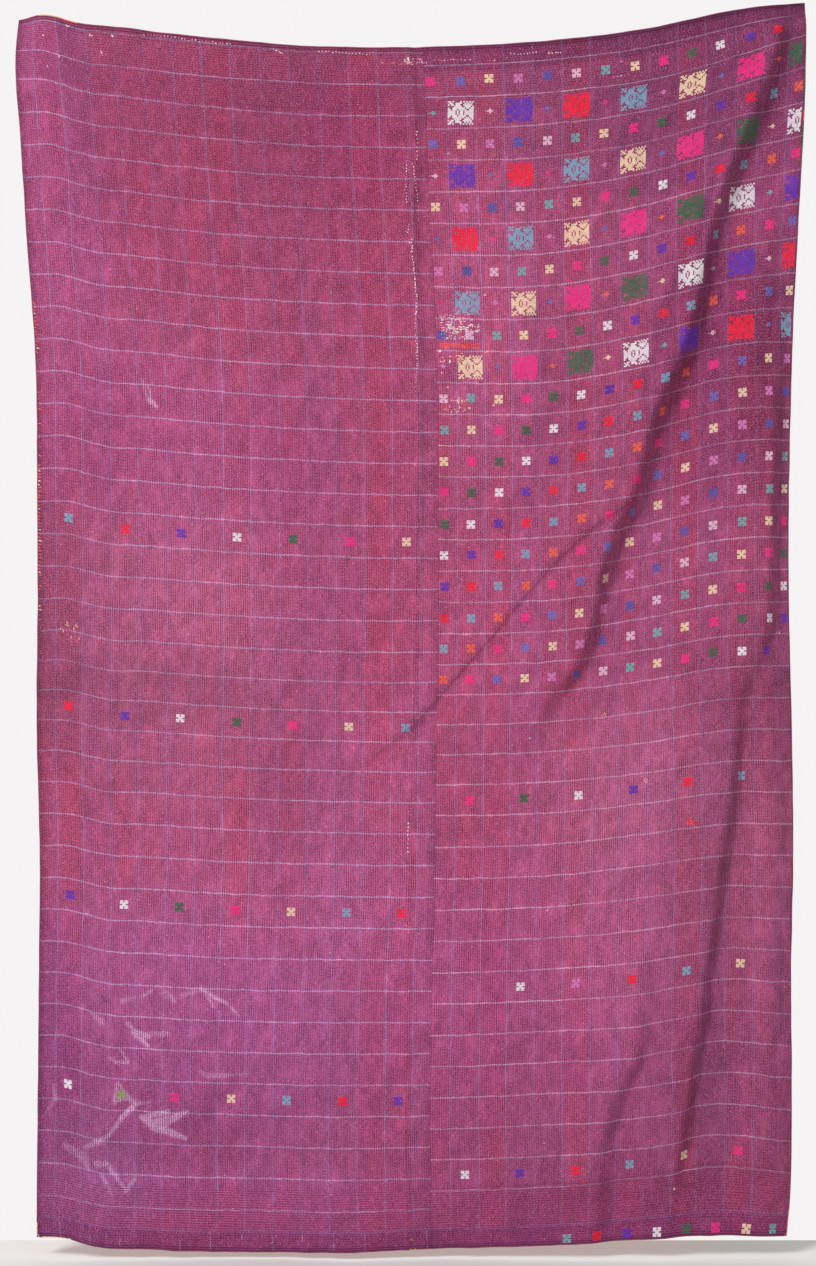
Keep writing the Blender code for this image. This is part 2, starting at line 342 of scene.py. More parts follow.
def drifted(table, across, down):
    """How far one of the drift tables moves the cloth at places across, in metres."""
    downs, *amounts = table.T / 1000
    at_places = np.array([curve(down, downs, line) for line in amounts])
    return np.interp(across, DRIFT_PLACES, at_places)


def off_path(path, x, drop):
    """How far places lie to the right of a fold's path, and its strength beside them."""
    drops = column(path, "drop")
    path_x = curve(drop, drops, column(path, "x"))
    slope = np.interp(drop, drops, np.gradient(column(path, "x"), drops))
    strength = np.interp(drop, drops, column(path, "strength"))
    return (x - path_x) / np.sqrt(1.0 + slope**2), strength


def fold_depth(fold, x, drop):
    """How far one fold pushes the cloth forward at a place on the hanging quilt."""
    away, strength = off_path(fold.path, x, drop)
    over = smooth_step(-fold.half_drop, fold.half_drop, away)
    before = fold.crest * bump(np.minimum(away + fold.half_drop, 0.0), fold.crest_width)
    after = fold.trough * bump(np.maximum(away - fold.half_drop, 0.0), fold.trough_width)
    return strength * (before * (1.0 - over) - after * over)


def crease_depth(crease, x, drop):
    away, strength = off_path(crease.path, x, drop)
    return -strength * crease.depth * bump(away, crease.width)


def tuck_place(down):
    return LEFT_WIDTH - np.interp(down, column(TUCK, "down"), column(TUCK, "from_seam"))


def ripple_waves():
    """The lengths, directions and phases of the waves that make up the unevenness."""
    draw = np.random.default_rng(RIPPLE_SEED)
    ranges = (RIPPLE_LENGTHS, (0.0, math.pi), (0.0, TURN))
    return np.stack([draw.uniform(*limits, RIPPLE_COUNT) for limits in ranges], axis=1)


RIPPLES = ripple_waves()


def unevenness(x, drop):
    total = np.zeros_like(x)
    for length, heading, phase in RIPPLES:
        run = x * math.cos(heading) + drop * math.sin(heading)
        total += np.sin(TURN * run / length + phase) * length / RIPPLE_LENGTHS[1]
    return RIPPLE_HEIGHT * total


def forward(x, drop, across, down):
    """How far the cloth stands forward of the plane that it hangs in."""
    depth = sum(fold_depth(fold, x, drop) for fold in FOLDS)
    depth = depth + sum(crease_depth(crease, x, drop) for crease in CREASES)
    for wave in WAVES:
        turn = TURN * (x + wave.slant * drop) / wave.length + wave.phase
        depth = depth + wave.height * np.clip(drop, 0.0, LENGTH) / LENGTH * np.sin(turn)
    depth = depth - LEFT_CURL * bump(across, LEFT_CURL_WIDTH)
    curl = RIGHT_CURL_TOP + (RIGHT_CURL - RIGHT_CURL_TOP) * smooth_step(0.35, 0.60, down)
    depth = depth - curl * bump(WIDTH - across, RIGHT_CURL_WIDTH)
    share = (across - LEFT_WIDTH) / WIDTH
    roll = np.where(share < 0, TOP_ROLL_LEFT, TOP_ROLL_RIGHT) * (2.0 * share) ** 2
    depth = depth - roll * bump(down, TOP_ROLL_WIDTH)
    tuck = smooth_step(TUCK_HALF, 0.0, np.abs(across - tuck_place(down)))
    valley = bump(across - LEFT_WIDTH + VALLEY_FROM_SEAM, VALLEY_WIDTH)
    valley = valley * smooth_step(VALLEY_END, 0.0, down)
    depth = depth + TUCK_RISE * tuck - VALLEY_DEPTH * valley
    return depth + unevenness(x, drop)


def hang_row(down, across):
    """The points of one row of the cloth at the given places across."""
    stations = column(STATIONS, "down")
    left, seam, right = (
        curve(down, stations, column(STATIONS, name)) for name in ("left", "seam", "right")
    )
    z = rise(across, down) - down + drifted(DRIFT_UP, across, down)
    aside = drifted(DRIFT_RIGHT, across, down)
    x = np.interp(across, (0.0, LEFT_WIDTH, WIDTH), (left, seam, right)) + aside
    depth = forward(x, -z, across, down)
    # Cloth that runs back and forth takes up less of the width.
    steps = np.diff(across) / np.sqrt(1.0 + np.gradient(depth, x)[1:] ** 2)
    run = np.concatenate([(0.0,), np.cumsum(steps)])
    at_seam = np.interp(LEFT_WIDTH, across, run)
    x = np.interp(run, (0.0, at_seam, run[-1]), (left, seam, right)) + aside
    return np.stack([x, -forward(x, -z, across, down), z], axis=1)


class Hanging:
    """The hung surface, worked out once on a fine grid and read anywhere on the cloth."""

    step_across = 0.004
    step_down = 0.0055

    def __init__(self):
        self.across = np.linspace(0.0, WIDTH, round(WIDTH / self.step_across) + 1)
        self.down = np.linspace(0.0, LENGTH, round(LENGTH / self.step_down) + 1)
        self.points = np.array([hang_row(down, self.across) for down in self.down])
        side = np.gradient(self.points, axis=1)
        along = np.gradient(self.points, axis=0)
        normals = np.cross(along, side)
        self.normals = normals / np.linalg.norm(normals, axis=2, keepdims=True)

    def read(self, table, across, down):
        """A table's rows at the places, in a straight line past the cloth's edges."""
        col = across / WIDTH * (len(self.across) - 1)
        row = down / LENGTH * (len(self.down) - 1)
        col_low = np.clip(np.floor(col).astype(int), 0, len(self.across) - 2)
        row_low = np.clip(np.floor(row).astype(int), 0, len(self.down) - 2)
        right = (col - col_low)[:, None]
        below = (row - row_low)[:, None]
        upper, lower = (
            table[row, col_low] * (1.0 - right) + table[row, col_low + 1] * right
            for row in (row_low, row_low + 1)
        )
        return upper * (1.0 - below) + lower * below

    def hang(self, flat):
        """The places of flat points, an array of x, y and z, on the hanging cloth."""
        across, down = flat[:, 0], -flat[:, 1]
        points = self.read(self.points, across, down)
        normals = self.read(self.normals, across, down)
        return points + normals * flat[:, 2:3]


HANGING = Hanging()


def face_height(across):
    """How far the front's face stands from the middle of the quilt, at places across."""
    proud = SEAM_PROUD * smooth_step(SEAM_FADE, 0.0, across - LEFT_WIDTH)
    return GAP / 2 + FRONT_THICK + proud * (across >= LEFT_WIDTH)


def mesh_read(items, name, kind, wide=1):
    """One property of all of a mesh's points, loops or faces, as an array."""
    values = np.empty(len(items) * wide, kind)
    items.foreach_get(name, values)
    return values.reshape(-1, wide) if wide > 1 else values


def mesh_points(mesh):
    return mesh_read(mesh.vertices, "co", np.float32, 3).astype(float)


def face_middles(mesh):
    return mesh_read(mesh.polygons, "center", np.float32, 3)


def tint_faces(mesh, numbers):
    """Gives each face the material of its number."""
    mesh.polygons.foreach_set("material_index", np.array(numbers, np.int32))


def set_mesh_points(mesh, points):
    mesh.vertices.foreach_set("co", points.astype(np.float32).ravel())
    mesh.update()


def hang_mesh(mesh, on_face):
    """Takes a flat mesh to the hanging cloth. on_face measures its z from the front's face."""
    flat = mesh_points(mesh)
    if on_face:
        flat[:, 2] += face_height(flat[:, 0])
    set_mesh_points(mesh, HANGING.hang(flat))


# ---- Making pieces ----


def bmesh_to_mesh(bm, name):
    mesh = bpy.data.meshes.new(name)
    bm.to_mesh(mesh)
    bm.free()
    return mesh


def set_cloth_map(mesh):
    """Keeps each point's place on the flat cloth as a map, in metres, across and down."""
    loops = mesh_read(mesh.loops, "vertex_index", np.int32)
    places = mesh_points(mesh)[loops, :2] * (1.0, -1.0)
    layer = mesh.uv_layers.new(name="Cloth")
    layer.data.foreach_set("uv", places.astype(np.float32).ravel())
    return places


def set_bake_map(mesh, places, left, right):
    """Lays a cloth out in a square in its OFBake map: top half beside bottom half.

    The cloth's inner face is laid out a little larger than its outer one, so that its rim
    has some width there.
    """
    heights = mesh_points(mesh)[mesh_read(mesh.loops, "vertex_index", np.int32), 2]
    inner = np.where(heights < heights.mean(), 1.0, 0.994)
    sides = mesh_read(mesh.polygons, "loop_total", np.int32)
    half = np.repeat(face_middles(mesh)[:, 1] < -LENGTH / 2, sides)
    share = (places[:, 0] - (left + right) / 2) / (right - left) * inner * 0.98 + 0.5
    drop = (2.0 * places[:, 1] / LENGTH - half - 0.5) * inner * 0.985 + 0.5
    flat = np.stack([(share + half) / 2, 1.0 - drop], axis=1)
    mesh.uv_layers.new(name="OFBake").data.foreach_set("uv", flat.astype(np.float32).ravel())


def linked(name, data):
    """A new object in the scene, unmoved."""
    made = bpy.data.objects.new(name, data)
    bpy.context.scene.collection.objects.link(made)
    return made


def add_piece(name, mesh, smooth=True, sharp=math.pi):
    """Adds a finished piece, which rides on the quilt's one body."""
    if smooth:
        mesh.shade_smooth()
        mesh.set_sharp_from_angle(angle=sharp)
    piece = linked(name, mesh)
    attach(piece, "root")
    return piece


# A cloth's rim stays sharp, and its folds are smooth.
RIM_ANGLE = math.radians(55.0)


def flat_cloth(name, left, right, low, high, pitch_across, pitch_down):
    """A closed flat cloth between two heights: a grid, extruded to its thickness."""
    count_across = round((right - left) / pitch_across)
    count_down = 2 * round(LENGTH / pitch_down / 2)
    bm = bmesh.new()
    bmesh.ops.create_grid(bm, x_segments=count_across, y_segments=count_down, size=0.5)
    bmesh.ops.scale(bm, vec=(right - left, LENGTH, 1.0), verts=bm.verts)
    middle = ((left + right) / 2, -LENGTH / 2, low)
    bmesh.ops.translate(bm, vec=middle, verts=bm.verts)
    made = bmesh.ops.extrude_face_region(bm, geom=bm.faces[:], use_keep_orig=True)
    face = [v for v in made["geom"] if isinstance(v, bmesh.types.BMVert)]
    bmesh.ops.translate(bm, vec=(0.0, 0.0, high - low), verts=face)
    bmesh.ops.recalc_face_normals(bm, faces=bm.faces[:])
    return bmesh_to_mesh(bm, name)


# ---- Materials ----


class Number:
    """A number in a material. Maths on it adds Math nodes."""

    def __init__(self, finish, socket):
        self.finish = finish
        self.socket = socket

    def maths(self, operation, *values):
        return self.finish.maths(operation, self, *values)

    def __add__(self, other):
        return self.maths("ADD", other)

    __radd__ = __add__

    def __mul__(self, other):
        return self.maths("MULTIPLY", other)

    __rmul__ = __mul__

    def __sub__(self, other):
        return self.maths("SUBTRACT", other)

    def __rsub__(self, other):
        return self.finish.maths("SUBTRACT", other, self)

    def __truediv__(self, other):
        return self.maths("DIVIDE", other)


class Finish:
    """One material, and the ways in which its nodes are made."""

    def __init__(self, name, roughness):
        self.material = bpy.data.materials.new(name)
        self.material.use_nodes = True
        self.tree = self.material.node_tree
        self.shader = self.tree.nodes["Principled BSDF"]
        self.shader.inputs["Roughness"].default_value = roughness
        self.shader.inputs["Specular IOR Level"].default_value = 0.15

    def node(self, kind, settings=None, sockets=None):
        """Any node: its settings are set first, then its sockets' values or links."""
        made = self.tree.nodes.new(kind)
        for name, value in (settings or {}).items():
            if name == "stops":
                self.set_stops(made.color_ramp, value)
            else:
                setattr(made, name, value)
        for key, value in (sockets or {}).items():
            source = getattr(value, "socket", value)
            if isinstance(source, bpy.types.NodeSocket):
                self.tree.links.new(source, made.inputs[key])
            else:
                made.inputs[key].default_value = value
        return made

    @staticmethod
    def set_stops(ramp, stops):
        while len(ramp.elements) < len(stops):
            ramp.elements.new(1.0)
        for element, (place, colour) in zip(ramp.elements, stops, strict=True):
            element.position = place
            element.color = (*colour, 1.0)

    def number(self, node, output=0):
        return Number(self, node.outputs[output])

    def maths(self, operation, *values):
        made = self.node("ShaderNodeMath", {"operation": operation}, dict(enumerate(values)))
        return self.number(made)

    def vector_maths(self, operation, *values, **named):
        sockets = dict(enumerate(values)) | named
        return self.node("ShaderNodeVectorMath", {"operation": operation}, sockets)

    def cloth_place(self):
        """The place on the flat cloth, as a vector and as numbers across and down."""
        self.place = self.node("ShaderNodeUVMap", {"uv_map": "Cloth"}).outputs[0]
        parts = self.node("ShaderNodeSeparateXYZ", sockets={0: self.place})
        self.across, self.down = self.number(parts, 0), self.number(parts, 1)
        return self.place, self.across, self.down

    def vector(self, x, y, z=0.0):
        return self.node("ShaderNodeCombineXYZ", sockets={0: x, 1: y, 2: z}).outputs[0]

    def noise(self, vector, scale=1.0, detail=2.0, roughness=0.5):
        sockets = {"Vector": vector, "Scale": scale, "Detail": detail, "Roughness": roughness}
        return self.number(self.node("ShaderNodeTexNoise", None, sockets))

    def grain(self, per_across, per_down, shift=0.0, **looks):
        """Noise over the flat cloth, with so many turns a metre across and down."""
        place = self.vector(self.across * per_across, self.down * per_down, shift)
        return self.noise(place, **looks)

    def chance(self, first, second):
        """A steady random number from 0 to 1 for each pair of whole numbers."""
        settings = {"noise_dimensions": "2D"}
        place = self.vector(first + 0.5, second + 0.5)
        return self.number(self.node("ShaderNodeTexWhiteNoise", settings, {"Vector": place}))

    def vector_part(self, vector):
        """A grey colour's or a vector's first part."""
        return self.number(self.node("ShaderNodeSeparateXYZ", sockets={0: vector}))

    def ramp(self, value, low, high, to_low=0.0, to_high=1.0):
        """value taken smoothly from the range low to high to another one."""
        sockets = {0: value, 1: low, 2: high, 3: to_low, 4: to_high}
        settings = {"interpolation_type": "SMOOTHSTEP"}
        return self.number(self.node("ShaderNodeMapRange", settings, sockets))

    def mix(self, share, below, above):
        """Two colours mixed. A colour is a socket or three numbers."""
        below, above = (
            value if isinstance(value, bpy.types.NodeSocket) else (*value, 1.0)
            for value in (below, above)
        )
        sockets = {0: share, 6: below, 7: above}
        return self.node("ShaderNodeMix", {"data_type": "RGBA"}, sockets).outputs[2]

    def brighten(self, colour, amount):
        """A colour times a number."""
        return self.vector_maths("SCALE", colour, Scale=amount).outputs[0]

    def set_colour(self, colour):
        if isinstance(colour, bpy.types.NodeSocket):
            self.tree.links.new(colour, self.shader.inputs["Base Color"])
        else:
            self.shader.inputs["Base Color"].default_value = (*colour, 1.0)

    def set_relief(self, height):
        """Raises the surface by height, in metres."""
        sockets = {"Height": height, "Distance": 1.0, "Strength": 1.0}
        made = self.node("ShaderNodeBump", None, sockets)
        self.tree.links.new(made.outputs[0], self.shader.inputs["Normal"])


# ---- Sizes and colours that a user would change ----


def settings_of(kind, **looks):
    """A maker of settings of one kind, each from its name, default and description."""

    def make(name, default, description):
        return kind(name=name, default=default, description=description, **looks)

    return make


length_property = settings_of(FloatProperty, unit="LENGTH", precision=4)
colour_property = settings_of(FloatVectorProperty, subtype="COLOR", size=3)
share_property = settings_of(FloatProperty, subtype="FACTOR", min=0.0, max=1.0)


class QuiltCloth(bpy.types.PropertyGroup):
    """How the cloths are meshed and coloured."""

    front_across: length_property("Front mesh across", 0.0060, "Mesh step across the front")
    front_down: length_property("Front mesh down", 0.0076, "Mesh step down the front")
    back_across: length_property("Back mesh across", 0.0086, "Mesh step across the backing")
    back_down: length_property("Back mesh down", 0.0098, "Mesh step down the backing")
    plum: colour_property("Plum", shade(158, 76, 113), "The front's main colour")
    wine: colour_property("Wine", shade(166, 71, 102), "The front's redder warp")
    mauve: colour_property("Mauve", shade(152, 83, 127), "The front's bluer warp")
    rust: colour_property("Rust", shade(196, 98, 60), "The backing's main colour")
    leaf: colour_property("Leaf green", shade(66, 118, 84), "The band down the backing")
    edge_radius: length_property("Edge radius", 0.0017, "Half the turned edge's thickness")


class QuiltChecks(bpy.types.PropertyGroup):
    across: length_property("Check across", 0.0525, "Step between the upright lines")
    down: length_property("Check down", 0.0578, "Step between the level lines")
    upright_width: length_property("Upright width", 0.0042, "Width of an upright line")
    level_width: length_property("Level width", 0.0021, "Width of a level line")
    upright: colour_property("Upright line", shade(134, 104, 158), "Colour of upright lines")
    level: colour_property("Level line", shade(206, 170, 196), "Colour of level lines")
    dim_level: colour_property("Dim level line", shade(176, 148, 186), "Level lines elsewhere")
    upright_strength: share_property("Upright strength", 0.44, "How plain upright lines are")
    level_strength: share_property("Level strength", 0.70, "How plain level lines are")


class QuiltStitch(bpy.types.PropertyGroup):
    """The running stitch that covers the quilt."""

    pitch: length_property("Row pitch", 0.0042, "Step from one row of stitches to the next")
    step: length_property("Stitch step", 0.0054, "Step from one stitch to the next")
    length: length_property("Stitch length", 0.0044, "Length of a stitch that shows")
    width: length_property("Stitch width", 0.0015, "Width of a stitch")
    height: length_property("Stitch height", 0.0006, "How far a stitch stands up")
    seed: IntProperty(name="Seed", default=5, description="Draws the stitches' unevenness")


class QuiltMotif(bpy.types.PropertyGroup):
    """The woven motifs."""

    small: length_property("Small motif", 0.0155, "Width of a small flower")
    big: length_property("Big motif", 0.0465, "Width of a big motif")
    big_tall: length_property("Big motif height", 0.0430, "Height of a big motif")
    dot: length_property("Dot", 0.0080, "Width of a dot between big motifs")
    height: length_property("Float height", 0.0004, "How far the floats stand up")


class QuiltStage(bpy.types.PropertyGroup):
    """The floor, lights and camera."""

    pixel: length_property("Pixel", 0.00185, "What one pixel of the view spans at the quilt")
    distance: length_property("Camera distance", 4.2, "From the camera to the quilt")
    floor_gap: length_property("Floor edge", 0.13, "From the quilt to the floor's back edge")
    key_power: FloatProperty(name="Key light", default=800.0, description="Power in watts")
    sky: FloatProperty(name="Sky", default=0.44, description="Strength of the even light")
    backdrop: colour_property("Backdrop", (0.913, 0.895, 0.895), "The light behind the quilt")


# ---- The layout of checks, stitches, motifs and marks on the flat cloth ----

# Where each panel's check starts: its first upright line from the panel's left side, and
# its first level line from the top edge.
Panel = namedtuple("Panel", "name left right first_upright first_level")
LEFT_PANEL = Panel("left", 0.0, LEFT_WIDTH, 0.037, 0.010)
RIGHT_PANEL = Panel("right", LEFT_WIDTH, WIDTH, LEFT_WIDTH + 0.038, 0.034)
HEM_LINE = 0.036
HEM_STRIP = 0.036
HEM_LINE_START = 0.1068
HEM_LINE_STEP = 0.0579

# Bands at the top and bottom where the stitch rows run across instead of down.
TOP_BAND = 0.115
BOTTOM_BAND = LENGTH - 0.112
BAND_SOFT = 0.006

# A stitch row wanders by slow waves, and each starts a share of a step later than the last.
WANDER_ACROSS = 0.0007
WANDER_LENGTH = 0.31
WANDER_TURN = 11.0
ROW_HASH = (1.7, 13.7)


def wander(along, across, sine):
    """How far a stitch row strays sideways; sine is numpy's or a material's."""
    return WANDER_ACROSS * sine(along * (TURN / WANDER_LENGTH) + across * WANDER_TURN)


def row_turns(number, sine):
    """The turns by which a numbered row's stitches start late; the fraction counts."""
    return sine(number * ROW_HASH[0]) * ROW_HASH[1]


# Yarns, by name.
YARNS = {
    "white": shade(244, 240, 246),
    "violet": shade(104, 64, 186),
    "red": shade(250, 46, 66),
    "sky": shade(128, 176, 204),
    "cream": shade(248, 222, 186),
    "pink": shade(248, 62, 142),
    "green": shade(66, 112, 86),
    "blue": shade(110, 120, 200),
    "navy": shade(88, 98, 178),
    "lilac": shade(224, 136, 200),
    "blush": shade(240, 200, 222),
    "teal": shade(122, 184, 188),
    "orange": shade(248, 112, 80),
    "plum": shade(150, 68, 108),
    "gold": shade(206, 164, 92),
    "moss": shade(150, 176, 104),
}
YARN_NAMES = tuple(YARNS)
TINTS = (0.90, 1.0)

# Charts of the woven motifs, a letter x for each float.
FLOWER = (
    "xxx.xxx",
    "xxx.xxx",
    "xxxxxxx",
    "..xxx..",
    "xxxxxxx",
    "xxx.xxx",
    "xxx.xxx",
)
DOT = (
    ".x.",
    "xxx",
    ".x.",
)
MEDALLION_TOP = (
    "xx.x....x.x.x.x.x",
    ".xx..xxxx..x.x.x.",
    "x.xx.xxx..xxxxxx.",
    "....xxxxx..xxxx.x",
    "x..xxxxxxxx.xx.xx",
    "xx.xxx.xxxxx..xxx",
    "xxxxx.x.xx.xxxxxx",
)
MEDALLION = (*MEDALLION_TOP, "xxxxx.x.xx.xxxxxx", *MEDALLION_TOP[::-1])

# Fuller yarns, whose floats nearly fill the gaps of a chart.
FULL_YARNS = ("violet", "red", "pink", "green", "navy")

# The orders in which the yarns follow each other.
FLOWER_YARNS = (
    "blue cream lilac navy blush teal cream pink green white violet red sky orange pink"
).split()
MEDALLION_YARNS = "white violet red sky cream pink green".split()
DOT_YARNS = "teal blush blue pink lilac blue orange cream".split()
HEM_YARNS = "teal red violet white green pink cream teal".split()
SPARSE_YARNS = "sky red violet white green pink cream".split()

# Rows of flowers: the check row, the first column and the step between columns, and the
# yarns, either an offset into an order or names.
FlowerRow = namedtuple("FlowerRow", "row first step count yarns start")
COLUMNS = 14
RIGHT_FLOWERS = (
    FlowerRow(0, 0, 1, COLUMNS - 1, FLOWER_YARNS, -1),
    *(FlowerRow(row, 0, 1, COLUMNS, FLOWER_YARNS, row // 2 - 1) for row in range(2, 10, 2)),
    *(FlowerRow(row, 0, 1, COLUMNS, FLOWER_YARNS, row - 6) for row in range(10, 19)),
    FlowerRow(19, 0, 1, COLUMNS - 1, FLOWER_YARNS, 13),
    FlowerRow(23, 1, 2, 6, "pink green white violet red sky".split(), 0),
    FlowerRow(29, 3, 2, 5, "white lilac red sky cream".split(), 0),
    FlowerRow(35, 1, 2, 6, "white violet red sky cream pink".split(), 0),
)
LEFT_FLOWERS = (
    *(FlowerRow(15 + 6 * turn, 1, 2, 7, SPARSE_YARNS, turn) for turn in range(3)),
    FlowerRow(33, 1, 2, 7, "white moss pink cream sky red violet".split(), 0),
)
MEDALLION_ROWS = (1, 3, 5, 7, 9)

HEM_ROW_DOWN = LENGTH - 0.011
HEM_ROW_START = LEFT_WIDTH + 0.2605
HEM_ROW_STEP = 0.0580

# Motifs in the first column stand this far from the seam.
FIRST_FLOWER = 0.012
FIRST_DOT = 0.013
DOT_TAIL = 0.006

# No motif comes nearer to the right edge than this.
EDGE_BARE = 0.004


# ---- The front cloths ----


def line_mask(finish, place, first, pitch, width, soft):
    """1 on lines at even steps, from the distance to the nearest one."""
    turns = (place - first) / pitch
    nearest = turns.maths("ADD", 0.5).maths("FRACT") - 0.5
    distance = nearest.maths("ABSOLUTE") * pitch
    return finish.ramp(distance, width / 2 + soft, width / 2 - soft)


def stitch_rows(finish, across, along, stitch):
    """How close a place is to a stitch row, and to the dips between a row's stitches."""
    strayed = across - wander(along, across, lambda turn: turn.maths("SINE"))
    row = strayed / stitch.pitch
    number = row.maths("FLOOR")
    valley = 0.5 - 0.5 * (row * TURN).maths("COSINE")
    late = row_turns(number, lambda turn: turn.maths("SINE"))
    turns = (along / stitch.step - late).maths("FRACT")
    between = finish.ramp((turns - 0.5).maths("ABSOLUTE"), 0.24, 0.10)
    return valley, between * valley * valley


def pucker(finish, stitch):
    """The stitching's valleys and dips: upright rows, but level ones in the end bands."""
    across, down = finish.across, finish.down
    upright, upright_dips = stitch_rows(finish, across, down, stitch)
    level, level_dips = stitch_rows(finish, down, across, stitch)
    top = finish.ramp(down, TOP_BAND + BAND_SOFT, TOP_BAND - BAND_SOFT)
    bottom = finish.ramp(down, BOTTOM_BAND - BAND_SOFT, BOTTOM_BAND + BAND_SOFT)
    ends = top.maths("MAXIMUM", bottom)
    valley = upright * (1.0 - ends) + level * ends
    return valley, upright_dips * (1.0 - ends) + level_dips * ends, ends


# Pale stains on the left panel: each runs between two places, given across and down, and
# its half width changes from start to end.
StainOrShadeStroke = namedtuple("StainOrShadeStroke", "across down to_across to_down start end strength")
STROKE_PARTS = (*[10000] * 6, 100)
STAINS = named_rows(
    StainOrShadeStroke,
    STROKE_PARTS,
    2049, 6383, 2118, 6658, 17, 24, 40, 2158, 6482, 2188, 6708, 15, 30, 45,
    2168, 6727, 2298, 6836, 48, 19, 75, 2061, 17639, 2253, 17519, 30, 19, 45,
    1666, 17740, 1909, 17679, 41, 26, 25, 2527, 17569, 2680, 17679, 63, 48, 28,
    2852, 17569, 3201, 17469, 26, 30, 28, 3201, 17449, 3439, 17590, 33, 30, 60,
    3439, 17590, 3677, 17690, 30, 20, 60, 3677, 17690, 3907, 17921, 22, 9, 45,
    3260, 17469, 3411, 17750, 30, 13, 45, 1110, 18070, 1272, 18160, 37, 59, 35,
    1801, 18160, 1923, 18279, 37, 19, 40, 1923, 18300, 2198, 18369, 52, 48, 60,
    1974, 18349, 2199, 18549, 56, 26, 62, 2208, 18329, 2553, 18299, 33, 44, 34,
    1660, 18620, 1753, 18760, 19, 22, 45, 1753, 18760, 1804, 18870, 22, 26, 55,
    1804, 18870, 1570, 18870, 26, 20, 55, 1570, 18870, 1458, 18800, 20, 11, 45,
    1622, 19250, 1816, 19500, 22, 30, 50, 1602, 19290, 1542, 19620, 22, 30, 50,
    1582, 19560, 1816, 19520, 48, 30, 55, 1816, 19500, 1969, 19620, 41, 52, 55,
    1969, 19620, 2224, 19580, 44, 11, 45, 1929, 19660, 1715, 19860, 44, 41, 60,
    1715, 19860, 1430, 20230, 41, 24, 60, 1430, 20230, 1216, 20370, 26, 41, 52,
    1216, 20370, 961, 20530, 48, 19, 50, 2072, 19870, 2399, 20020, 30, 111, 66,
    2092, 19870, 2591, 19740, 44, 44, 60, 2409, 19970, 2958, 19720, 111, 19, 62,
    2368, 20010, 2939, 20200, 92, 26, 66, 604, 20580, 961, 20700, 56, 92, 32,
    961, 20720, 1053, 20890, 63, 22, 38, 1216, 20760, 1390, 20720, 48, 37, 45,
    1390, 20720, 1604, 20970, 44, 30, 50, 1604, 20970, 1798, 21200, 33, 17, 45,
    1951, 20980, 1777, 21200, 26, 33, 45, 1308, 20940, 1512, 21260, 41, 15, 35,
    337, 19520, 358, 19770, 30, 33, 45, 358, 19770, 82, 20100, 30, 11, 28,
    3193, 18970, 3361, 19050, 22, 44, 32, 3361, 19050, 3756, 19020, 44, 37, 30,
    3756, 19020, 4082, 19000, 37, 19, 18,
)
STAIN_SOFT = 0.0022
STAIN_GLOW = 0.0070
STAIN_COLOUR = shade(220, 178, 218)
SLUB = shade(228, 154, 178)


def nearest_on(finish, start, run):
    """How far along a stroke a place lies, from 0 to 1, and how far away from it."""
    length = run[0] ** 2 + run[1] ** 2
    before = start[0] * run[0] + start[1] * run[1]
    dot = finish.vector_maths("DOT_PRODUCT", finish.place, run)
    sockets = {0: dot.outputs["Value"], 1: before, 2: before + length}
    share = finish.number(finish.node("ShaderNodeMapRange", None, sockets))
    # A scale node takes the share as a number, so no hidden conversion node is made.
    along = finish.vector_maths("SCALE", run, Scale=share)
    nearest = finish.vector_maths("ADD", along.outputs[0], start)
    apart = finish.vector_maths("DISTANCE", finish.place, nearest.outputs[0])
    return share, finish.number(apart, "Value")


def strokes_mask(finish, strokes, outer, inner, ragged=None, power=1.0):
    """The strongest of some tapering strokes: 0 from outer past its edge, full at inner."""
    total = None
    for stroke in strokes:
        start = (stroke.across, stroke.down, 0.0)
        run = (stroke.to_across - stroke.across, stroke.to_down - stroke.down, 0.0)
        share, away = nearest_on(finish, start, run)
        half = share.maths("MULTIPLY_ADD", stroke.end - stroke.start, stroke.start)
        outside = (away if ragged is None else away + ragged) - half
        mask = finish.ramp(outside, outer, inner, 0.0, stroke.strength**power)
        total = mask if total is None else total.maths("MAXIMUM", mask)
    return total


def stain_mask(finish):
    """How stained a place is. Each stain is a tapering stroke with a ragged edge."""
    ragged = (finish.noise(finish.place, scale=300.0, detail=3.0, roughness=0.65) - 0.5) * 0.008
    total = strokes_mask(finish, STAINS, STAIN_GLOW, -STAIN_SOFT, ragged, 1.0 / 3.0)
    # The cube leaves a soft edge and a faint glow round each stroke.
    total = total * total * total
    mottle = finish.noise(finish.place, scale=420.0, detail=2.0, roughness=0.7)
    return total * finish.ramp(mottle, 0.34, 0.60, 0.35, 1.0)


# Painted shadow along the sharp line of the crease across the middle, as strokes like the stains'.
CREASE_SHADOW_STROKES = named_rows(
    StainOrShadeStroke,
    STROKE_PARTS,
    11402, 8439, 10659, 8779, 3, 7, 29, 10659, 8779, 9749, 9497, 7, 8, 36,
    9749, 9497, 9155, 10132, 8, 8, 36, 9155, 10132, 8321, 11077, 8, 8, 36,
    8321, 11077, 7582, 11913, 8, 8, 36, 7582, 11913, 7100, 12450, 8, 7, 32,
    7100, 12450, 6382, 13080, 7, 5, 25, 6382, 13080, 5721, 13641, 5, 2, 18,
)
CREASE_SHADOW_SOFT = 0.0012


def painted_crease_shadow(finish, panel):
    """Painted shadow along the sharp crease: the tone of the cloth there."""
    near = [
        stroke
        for stroke in CREASE_SHADOW_STROKES
        if stroke.across >= panel.left and stroke.to_across <= panel.right
    ]
    return 1.0 - strokes_mask(finish, near, CREASE_SHADOW_SOFT, -CREASE_SHADOW_SOFT)
